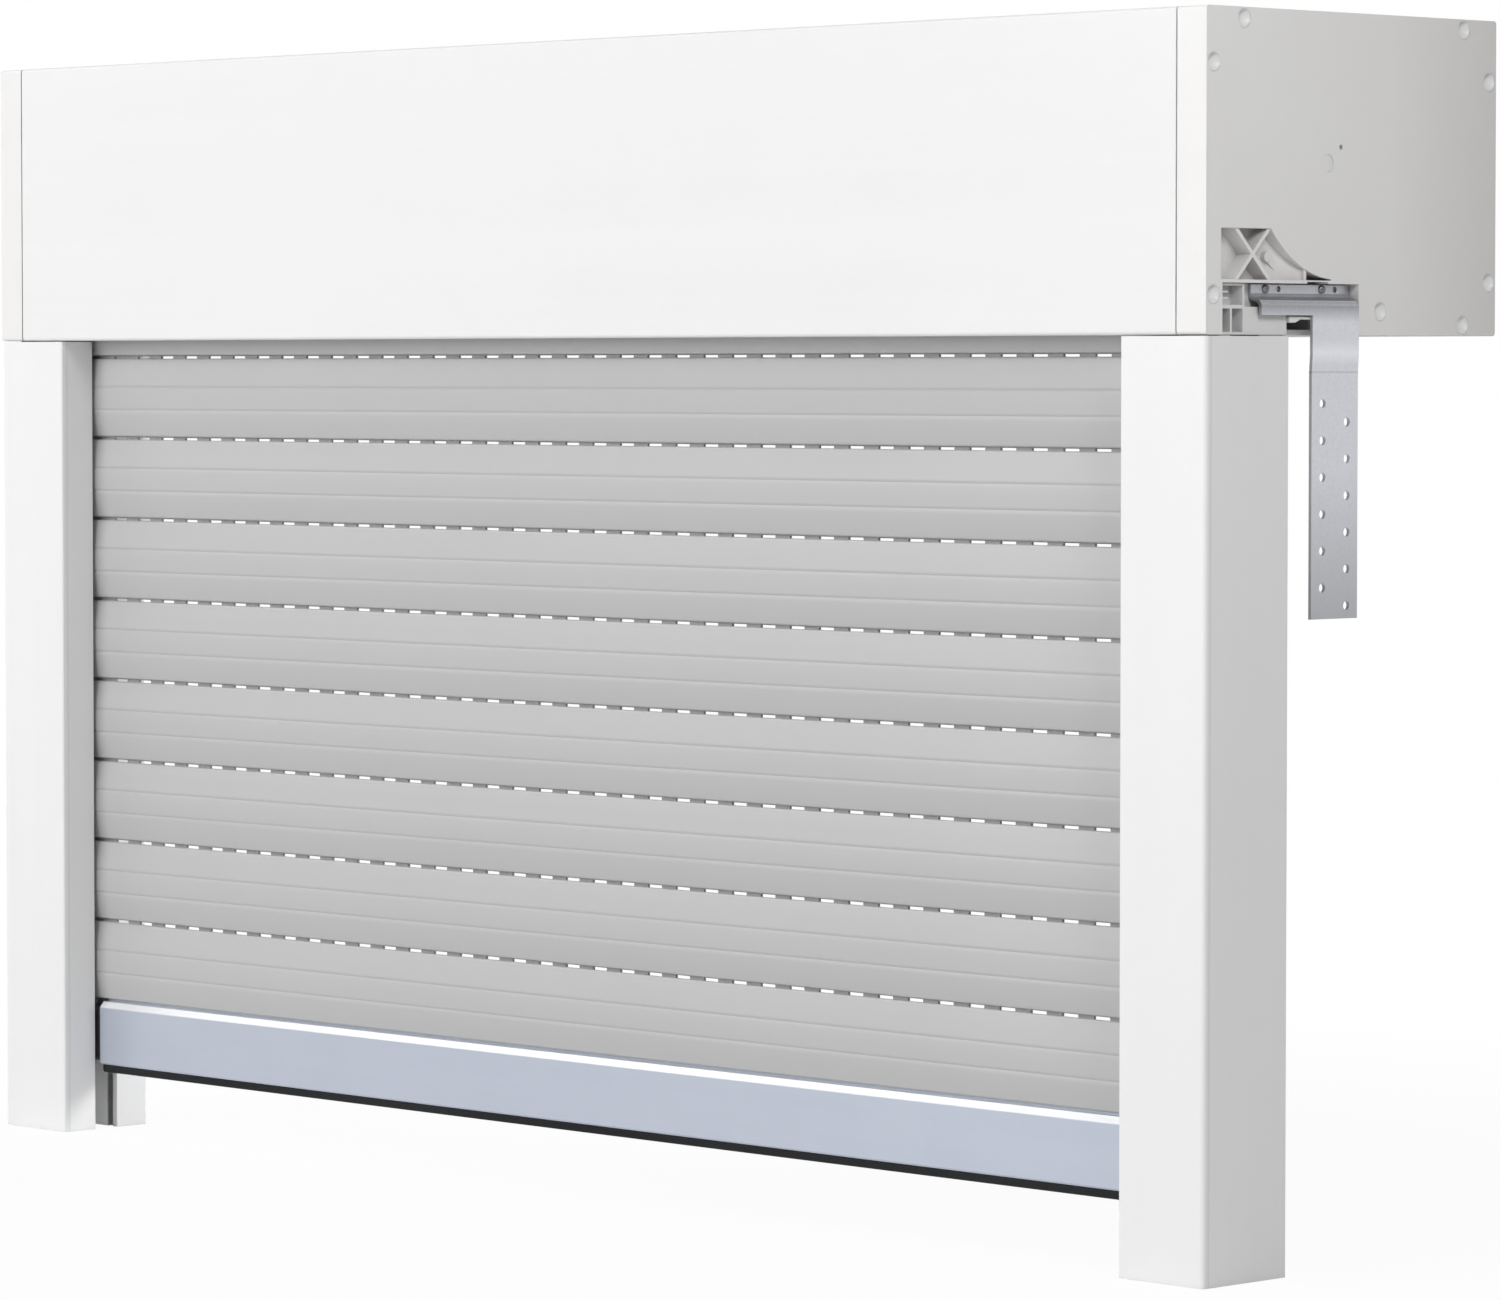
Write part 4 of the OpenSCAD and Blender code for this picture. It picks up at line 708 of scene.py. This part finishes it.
def crisp_smooth(tree, geometry, limit=32.0):
    """Smooth shading that stays crisp at edges over the limit, in degrees."""
    sockets = {"Geometry": geometry, "Shade Smooth": True}
    smooth = node(tree, "GeometryNodeSetShadeSmooth", sockets, domain="FACE").outputs[0]
    angle = tree.nodes.new("GeometryNodeInputMeshEdgeAngle").outputs["Unsigned Angle"]
    over = {0: angle, 1: math.radians(limit)}
    sharp = node(tree, "FunctionNodeCompare", over, operation="GREATER_THAN").outputs[0]
    sockets = {"Geometry": smooth, "Selection": sharp, "Shade Smooth": False}
    return node(tree, "GeometryNodeSetShadeSmooth", sockets, domain="EDGE").outputs[0]


def finished(tree, geometry, finish, out):
    """The end of each tree: real geometry with its finish."""
    sockets = {"Geometry": real(tree, geometry), "Material": finish}
    tree.links.new(node(tree, "GeometryNodeSetMaterial", sockets).outputs[0], out[0])


# Slats

def slat_tree():
    """A profile swept across the window, with a row of slots cut through its neck."""
    tree, entry, out = new_group("hanging_slat", "GeometryNodeTree", [
        ("Profile", OBJECT, None), ("Half Length", FLOAT, 0.4),
        ("Slot Count", WHOLE, 10), ("Slot Pitch", FLOAT, 24 * MM),
        ("Slot Size", VECTOR, (12 * MM, 4 * MM, 4 * MM)), ("Slot Height", FLOAT, 50 * MM),
        ("Place", VECTOR, (0.0, 0.0, 0.0)), ("Finish", MATERIAL, None)],
        [("Geometry", GEOMETRY)])
    far = times(tree, entry["Half Length"], -1.0)
    ends = {"Start": xyz(tree, entry["Half Length"]), "End": xyz(tree, far)}
    path = node(tree, "GeometryNodeCurvePrimitiveLine", ends).outputs[0]
    sweep = {"Curve": path, "Profile Curve": shape_of(tree, entry["Profile"]), "Fill Caps": True}
    body = node(tree, "GeometryNodeCurveToMesh", sweep).outputs[0]
    gaps = math_node(tree, "SUBTRACT", entry["Slot Count"], 1.0)
    first = times(tree, times(tree, gaps, entry["Slot Pitch"]), -0.5)
    row = {"Count": entry["Slot Count"], "Start Location": xyz(tree, first, 0.0, entry["Slot Height"]),
           "Offset": xyz(tree, entry["Slot Pitch"])}
    points = node(tree, "GeometryNodeMeshLine", row).outputs[0]
    punches = real(tree, copies(tree, points, cube(tree, entry["Slot Size"])))
    shaded = crisp_smooth(tree, cut_by(tree, body, punches))
    finished(tree, moved(tree, shaded, Translation=entry["Place"]), entry["Finish"], out)
    return tree


def profile_curve(name, outline):
    """Closed curve of points (y, z), laid so that a sweep towards -X stands it upright."""
    curve = bpy.data.curves.new(name, "CURVE")
    curve.dimensions = "3D"
    line = curve.splines.new("POLY")
    line.points.add(len(outline) - 1)
    line.use_cyclic_u = True
    for point, (y, z) in zip(line.points, outline):
        point.co = (y, -z, 0, 1)
    return in_scene(name, curve)


def arc(y, z, radius, start, end, steps=4):
    """Points on a circle from one angle to another, in degrees."""
    turns = [math.radians(start + (end - start) * i / steps) for i in range(steps + 1)]
    return [(y + radius * math.cos(t), z + radius * math.sin(t)) for t in turns]


def slat_outline(height):
    """Section of a slat as points (y, z) from its lower edge: mouth, bulged walls, neck and scored lines."""
    def half(z):
        return SLAT_T / 2 - SLAT_DRAW * (2 * z / height - 1) ** 2

    def scored(z):
        return SCORE_DEEP * sum(max(1 - abs(2 * (z - line) / SCORE_W), 0) for line in SCORE_LINES)

    def levels(low, high, count, lines=()):
        even = [low + (high - low) * i / count for i in range(count + 1)]
        steps = [SCORE_W * i / (2 * SCORE_STEPS) for i in range(-SCORE_STEPS, SCORE_STEPS + 1)]
        fine = [line + step for line in lines for step in steps]
        return sorted(z for z in set(even + fine) if low <= z <= high)

    r = EDGE_R
    back_top = height - TOP_FALL
    rim = half(r) - r
    top_rim = half(back_top - r) - r
    front = [(scored(z) - half(z), z) for z in levels(r, height - r, FRONT_STEPS, SCORE_LINES)]
    back = [(half(z), z) for z in levels(r, back_top - r, BACK_STEPS)]
    slope = TOP_FALL / (top_rim + rim)
    root = [height - slope * (rim + side * NECK_T / 2) for side in (-1, 1)]
    head_z = height + SLAT_GAP + LIP_T
    head_top = head_z + HEAD_T
    neck = [(NECK_T / 2, root[1]), (NECK_T / 2, head_z), (HEAD_W / 2, head_z), (HEAD_W / 2, head_top),
            (-HEAD_W / 2, head_top), (-HEAD_W / 2, head_z), (-NECK_T / 2, head_z), (-NECK_T / 2, root[0])]
    mouth = [(-MOUTH_W / 2, 0), (-MOUTH_W / 2, LIP_T), (-CAVE_W / 2, LIP_T), (-CAVE_W / 2, CAVE_TOP),
             (CAVE_W / 2, CAVE_TOP), (CAVE_W / 2, LIP_T), (MOUTH_W / 2, LIP_T), (MOUTH_W / 2, 0)]
    back_side = arc(rim, r, r, 270, 360)[:-1] + back + arc(top_rim, back_top - r, r, 0, 90)[1:]
    front_side = arc(-rim, height - r, r, 90, 180)[:-1] + front[::-1] + arc(-rim, r, r, 180, 270)[1:]
    return mouth + back_side + neck + front_side


def hang_slats():
    """All slats of the curtain, each on its own body."""
    tree = slat_tree()
    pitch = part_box("slat_1")[0].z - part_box("slat_2")[0].z
    height = pitch - SLAT_GAP
    profile = profile_curve("slat_profile", slat_outline(height)[::-1])
    slot_low = height - LIGHT_DROP
    slot_high = pitch - LIGHT_TOP
    for k in SLATS:
        low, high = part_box(f"slat_{k}")
        slat = made_by(tree, f"curtain_slat_{k}", profile=profile, half_length=high.x, slot_count=LIGHT_COUNT,
                       slot_pitch=LIGHT_PITCH, slot_size=(LIGHT_LEN, 2 * NECK_T, slot_high - slot_low),
                       slot_height=(slot_low + slot_high) / 2, place=(0, (low.y + high.y) / 2, low.z),
                       finish=FINISH["slat_pvc"])
        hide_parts(f"slat_{k}")
        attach(slat, f"hung_slat_{k}")
    bpy.data.objects.remove(profile)


hang_slats()


# Brushes of the rails

def brush_tree():
    """Two strips that face each other across a gap, with rows of bristles that each lean their own way."""
    tree, entry, out = new_group("pile_brushes", "GeometryNodeTree", [
        ("Strip", VECTOR, (4 * MM, 1 * MM, 0.5)), ("Gap", FLOAT, 24 * MM),
        ("Pile Width", FLOAT, 3 * MM), ("Pile Length", FLOAT, 3 * MM),
        ("Rows", WHOLE, 5), ("Columns", WHOLE, 100), ("Jitter", VECTOR, (0.0, 0.0, 0.0)),
        ("Root Radius", FLOAT, 0.1 * MM), ("Tip Radius", FLOAT, 0.05 * MM),
        ("Place", VECTOR, (0.0, 0.0, 0.0)), ("Finish", MATERIAL, None)],
        [("Geometry", GEOMETRY)])
    size = node(tree, "ShaderNodeSeparateXYZ", {0: entry["Strip"]}).outputs
    run = math_node(tree, "SUBTRACT", size["Z"], times(tree, entry["Root Radius"], PILE_END_RADII))
    grid = {"Size X": entry["Pile Width"], "Size Y": run,
            "Vertices X": entry["Rows"], "Vertices Y": entry["Columns"]}
    flat = node(tree, "GeometryNodeMeshGrid", grid).outputs[0]
    roots = moved(tree, flat, Translation=xyz(tree, 0.0, size["Y"]), Rotation=(math.pi / 2, 0, 0))
    least = vector_math(tree, "MULTIPLY", entry["Jitter"], (-1, -1, -1))
    stray = {"Geometry": roots, "Offset": scattered(tree, least, entry["Jitter"], STRAY_SEED)}
    loose = node(tree, "GeometryNodeSetPosition", stray).outputs[0]
    hair = {"Vertices": BRISTLE_SIDES, "Radius Top": entry["Tip Radius"],
            "Radius Bottom": entry["Root Radius"], "Depth": entry["Pile Length"]}
    bristle = node(tree, "GeometryNodeMeshCone", hair, fill_type="NONE").outputs["Mesh"]
    turn = scattered(tree, (-math.pi / 2 - BRISTLE_LEAN, 0.0, -BRISTLE_LEAN),
                     (-math.pi / 2 + BRISTLE_LEAN, BRISTLE_SPIN, BRISTLE_LEAN), LEAN_SEED)
    pile = copies(tree, loose, bristle, Rotation=turn)
    strip = moved(tree, cube(tree, entry["Strip"]), Translation=xyz(tree, 0.0, times(tree, size["Y"], 0.5)))
    near = joined(tree, strip, pile)
    far = moved(tree, near, Translation=xyz(tree, 0.0, entry["Gap"]), Rotation=(0, 0, math.pi))
    both = moved(tree, joined(tree, near, far), Translation=entry["Place"])
    finished(tree, both, entry["Finish"], out)
    return tree


def fit_brushes():
    """Both brushes of each rail."""
    tree = brush_tree()
    for side in ("left", "right"):
        low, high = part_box(f"rail_brushes_{side}")
        size = high - low
        brush = made_by(tree, f"brush_pile_{side}", strip=(size.x, BRUSH_BACK, size.z), gap=size.y,
                        pile_width=PILE_W, pile_length=PILE_LEN, rows=PILE_ROWS,
                        columns=int(size.z / PILE_STEP), jitter=PILE_STRAY, root_radius=BRISTLE_R,
                        tip_radius=BRISTLE_TIP_R, place=((low.x + high.x) / 2, low.y, (low.z + high.z) / 2),
                        finish=FINISH["brush_pile"])
        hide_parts(f"rail_brushes_{side}")
        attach(brush, "frame")


fit_brushes()


# Screws of the wall anchors

def ring_mesh(name, rings, sides):
    """Closed mesh round Z from rings, each a height and a function that gives the radius at an angle."""
    shape = bmesh.new()
    turns = [2 * math.pi * i / sides for i in range(sides)]
    rows = [[shape.verts.new((r(t) * math.cos(t), r(t) * math.sin(t), z)) for t in turns] for z, r in rings]
    for lower, upper in zip(rows, rows[1:]):
        for i in range(sides):
            k = (i + 1) % sides
            shape.faces.new((lower[i], lower[k], upper[k], upper[i]))
    shape.faces.new(rows[0][::-1])
    shape.faces.new(rows[-1])
    mesh = bpy.data.meshes.new(name)
    shape.to_mesh(mesh)
    shape.free()
    return mesh


def screw_blank(shank_len):
    """Tapping screw before its recess is pressed: threaded shank below z 0 and a pan head above."""
    def thread(z):
        def radius(turn):
            place = (z / THREAD_PITCH - turn / (2 * math.pi)) % 1
            ridge = max(1 - abs(4 * place - 2), 0)
            point = min(max((z + shank_len) / POINT_LEN, POINT_TIP), 1)
            return (SHANK_R - THREAD_DEPTH * (1 - ridge)) * point
        return radius

    def even(value):
        return lambda turn: value

    steps = int(THREAD_STEPS * shank_len / THREAD_PITCH)
    levels = [-shank_len * (1 - i / steps) for i in range(steps)]
    shank = [(z, thread(z)) for z in levels]
    neck = [(0, even(SHANK_R - THREAD_DEPTH)), (0, even(HEAD_R))]
    turns = [math.radians(a) for a in range(0, 91, 15)]
    dome = [(HEAD_RIM + (HEAD_H - HEAD_RIM) * math.sin(t),
             even(HEAD_R * (DOME_FLAT + (1 - DOME_FLAT) * math.cos(t)))) for t in turns]
    return ring_mesh("screw_blank", shank + neck + dome, SCREW_SIDES)


def screw_tree():
    """A screw with a cross recess pressed into its head, set at each point of a mesh."""
    tree, entry, out = new_group("screws", "GeometryNodeTree", [
        ("Blank", OBJECT, None), ("Points", OBJECT, None),
        ("Recess", VECTOR, (2 * MM, 0.5 * MM, 1 * MM)), ("Head Height", FLOAT, 2 * MM),
        ("Turn", VECTOR, (0.0, 0.0, 0.0)), ("Finish", MATERIAL, None)],
        [("Geometry", GEOMETRY)])
    wing = moved(tree, cube(tree, entry["Recess"]), Translation=xyz(tree, 0.0, 0.0, entry["Head Height"]))
    across = moved(tree, wing, Rotation=(0, 0, math.pi / 2))
    screw = cut_by(tree, cut_by(tree, shape_of(tree, entry["Blank"]), wing), across)
    shaded = crisp_smooth(tree, screw, limit=40.0)
    driven = copies(tree, shape_of(tree, entry["Points"]), shaded, Rotation=entry["Turn"])
    finished(tree, driven, entry["Finish"], out)
    return tree


def drive_screws():
    """The two screws of each wall anchor, heads outward."""
    tree = screw_tree()
    for side, sign in (("left", -1), ("right", 1)):
        low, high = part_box(f"anchor_screws_{side}")
        seat = high.x - HEAD_H if sign > 0 else low.x + HEAD_H
        mesh = bpy.data.meshes.new("screw_points")
        level = (low.z + high.z) / 2
        mesh.from_pydata([(seat, y, level) for y in (low.y + HEAD_R, high.y - HEAD_R)], [], [])
        points = in_scene("screw_points", mesh)
        blank = in_scene("screw_blank", screw_blank(high.x - low.x - HEAD_H))
        screws = made_by(tree, f"cross_screws_{side}", blank=blank, points=points,
                         recess=(RECESS_SPAN, RECESS_W, 2 * RECESS_DEEP), head_height=HEAD_H,
                         turn=(SCREW_TURN, sign * math.pi / 2, 0), finish=FINISH["zinc_screws"])
        bpy.data.objects.remove(points)
        bpy.data.objects.remove(blank)
        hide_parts(f"anchor_screws_{side}")
        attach(screws, "frame")


drive_screws()


# Suspension straps

def bend_straps():
    """Leaf spring straps between the shaft and the first slat, cut into short lengths."""
    solid = nodes["suspension_straps"]
    shape = bmesh.new()
    shape.from_mesh(solid.data)
    shape.transform(solid.matrix_world)
    bmesh.ops.remove_doubles(shape, verts=shape.verts, dist=WELD)
    low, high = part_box("suspension_straps")
    hook = Vector((0, low.y, low.z))
    shaft = Vector((0, high.y, high.z))
    run = shaft - hook
    count = int(run.length / STRAP_STEP)
    for i in range(1, count):
        every = shape.verts[:] + shape.edges[:] + shape.faces[:]
        cut_at = hook + run * (i / count)
        bmesh.ops.bisect_plane(shape, geom=every, dist=WELD, plane_co=cut_at, plane_no=run)
    mesh = bpy.data.meshes.new("leaf_straps")
    shape.to_mesh(mesh)
    shape.free()
    straps = in_scene("leaf_straps", mesh)
    dress(straps, "spring_steel")
    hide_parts("suspension_straps")
    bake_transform(straps)


bend_straps()


# Studio

def soft_lamp(name, place, aim, size, power, beam=180):
    """Round lamp with its size in metres, its power in watts and the width of its beam in degrees."""
    data = bpy.data.lights.new(name, "AREA")
    data.shape = "DISK"
    data.size = size
    data.energy = power
    data.spread = math.radians(beam)
    lamp = in_scene(name, data)
    lamp.location = place
    lamp.rotation_euler = (Vector(aim) - Vector(place)).to_track_quat("-Z", "Y").to_euler()


def seen_rays(tree):
    """1 for the rays that show a background: straight from the camera, mirrored or through glass."""
    path = tree.nodes.new("ShaderNodeLightPath").outputs
    seen = math_node(tree, "MAXIMUM", path["Is Camera Ray"], path["Is Glossy Ray"])
    return math_node(tree, "MAXIMUM", seen, path["Is Transmission Ray"])


def studio_floor(level):
    """Pale floor that shows white and keeps a faint shadow."""
    mesh = bpy.data.meshes.new("studio_floor")
    corners = [(x * FLOOR_REACH, y * FLOOR_REACH, level) for x, y in ((-1, -1), (1, -1), (1, 1), (-1, 1))]
    mesh.from_pydata(corners, [], [(0, 1, 2, 3)])
    floor = in_scene("studio_floor", mesh)
    material, tree, shader = new_material("studio_floor")
    shader.inputs["Base Color"].default_value = grey(0.9)
    shader.inputs["Roughness"].default_value = 0.9
    white = node(tree, "ShaderNodeEmission", {"Color": grey(1.0), "Strength": 1.0}).outputs[0]
    away = vector_math(tree, "DISTANCE", object_place(tree), (0, 0, level))
    share = times(tree, seen_rays(tree), spread(tree, away, SHADOW_NEAR, SHADOW_FAR, NEAR_WHITE, 1.0))
    mixed = node(tree, "ShaderNodeMixShader", {0: share, 1: shader.outputs[0], 2: white})
    tree.links.new(mixed.outputs[0], tree.nodes["Material Output"].inputs["Surface"])
    mesh.materials.append(material)


def studio_world(strength):
    """Even white surroundings: a plain light level, and white where they are seen."""
    world = bpy.data.worlds.new("studio_world")
    world.use_nodes = True
    tree = world.node_tree
    back = tree.nodes["Background"]
    back.inputs["Color"].default_value = grey(1.0)
    tree.links.new(spread(tree, seen_rays(tree), 0.0, 1.0, strength, 1.0), back.inputs["Strength"])
    bpy.context.scene.world = world


def photo_camera():
    """Camera at the photograph's place and angle."""
    data = bpy.data.cameras.new("camera")
    data.lens = CAMERA_LENS
    data.sensor_width = SENSOR_W
    camera = in_scene("camera", data)
    camera.location = CAMERA_AT
    camera.rotation_euler = (math.radians(90 - CAMERA_FALL), 0, math.radians(CAMERA_HEADING))
    bpy.context.scene.camera = camera


studio_floor(cad_low.z - FLOOR_GAP)
studio_world(WORLD_LIGHT)
soft_lamp("front_lamp", place=(-0.8, -3.3, 0.9), aim=(0, 0, -0.15), size=2.2, power=67)
soft_lamp("left_top_lamp", place=(-2.2, -0.9, 1.7), aim=(0, 0, -0.2), size=1.4, power=15)
soft_lamp("right_lamp", place=(1.5, -0.62, 0.7), aim=(0.52, 0, 0.0), size=0.5, power=7.0)
soft_lamp("foot_lamp", place=(0.42, 0.45, -0.08), aim=(-0.46, 0.03, -0.49), size=0.35, power=0.48, beam=50)
soft_lamp("rear_lamp", place=(0.6, 3.0, 1.2), aim=(0, 0.1, -0.1), size=2.0, power=22)
photo_camera()
bpy.context.scene.view_settings.view_transform = "Standard"
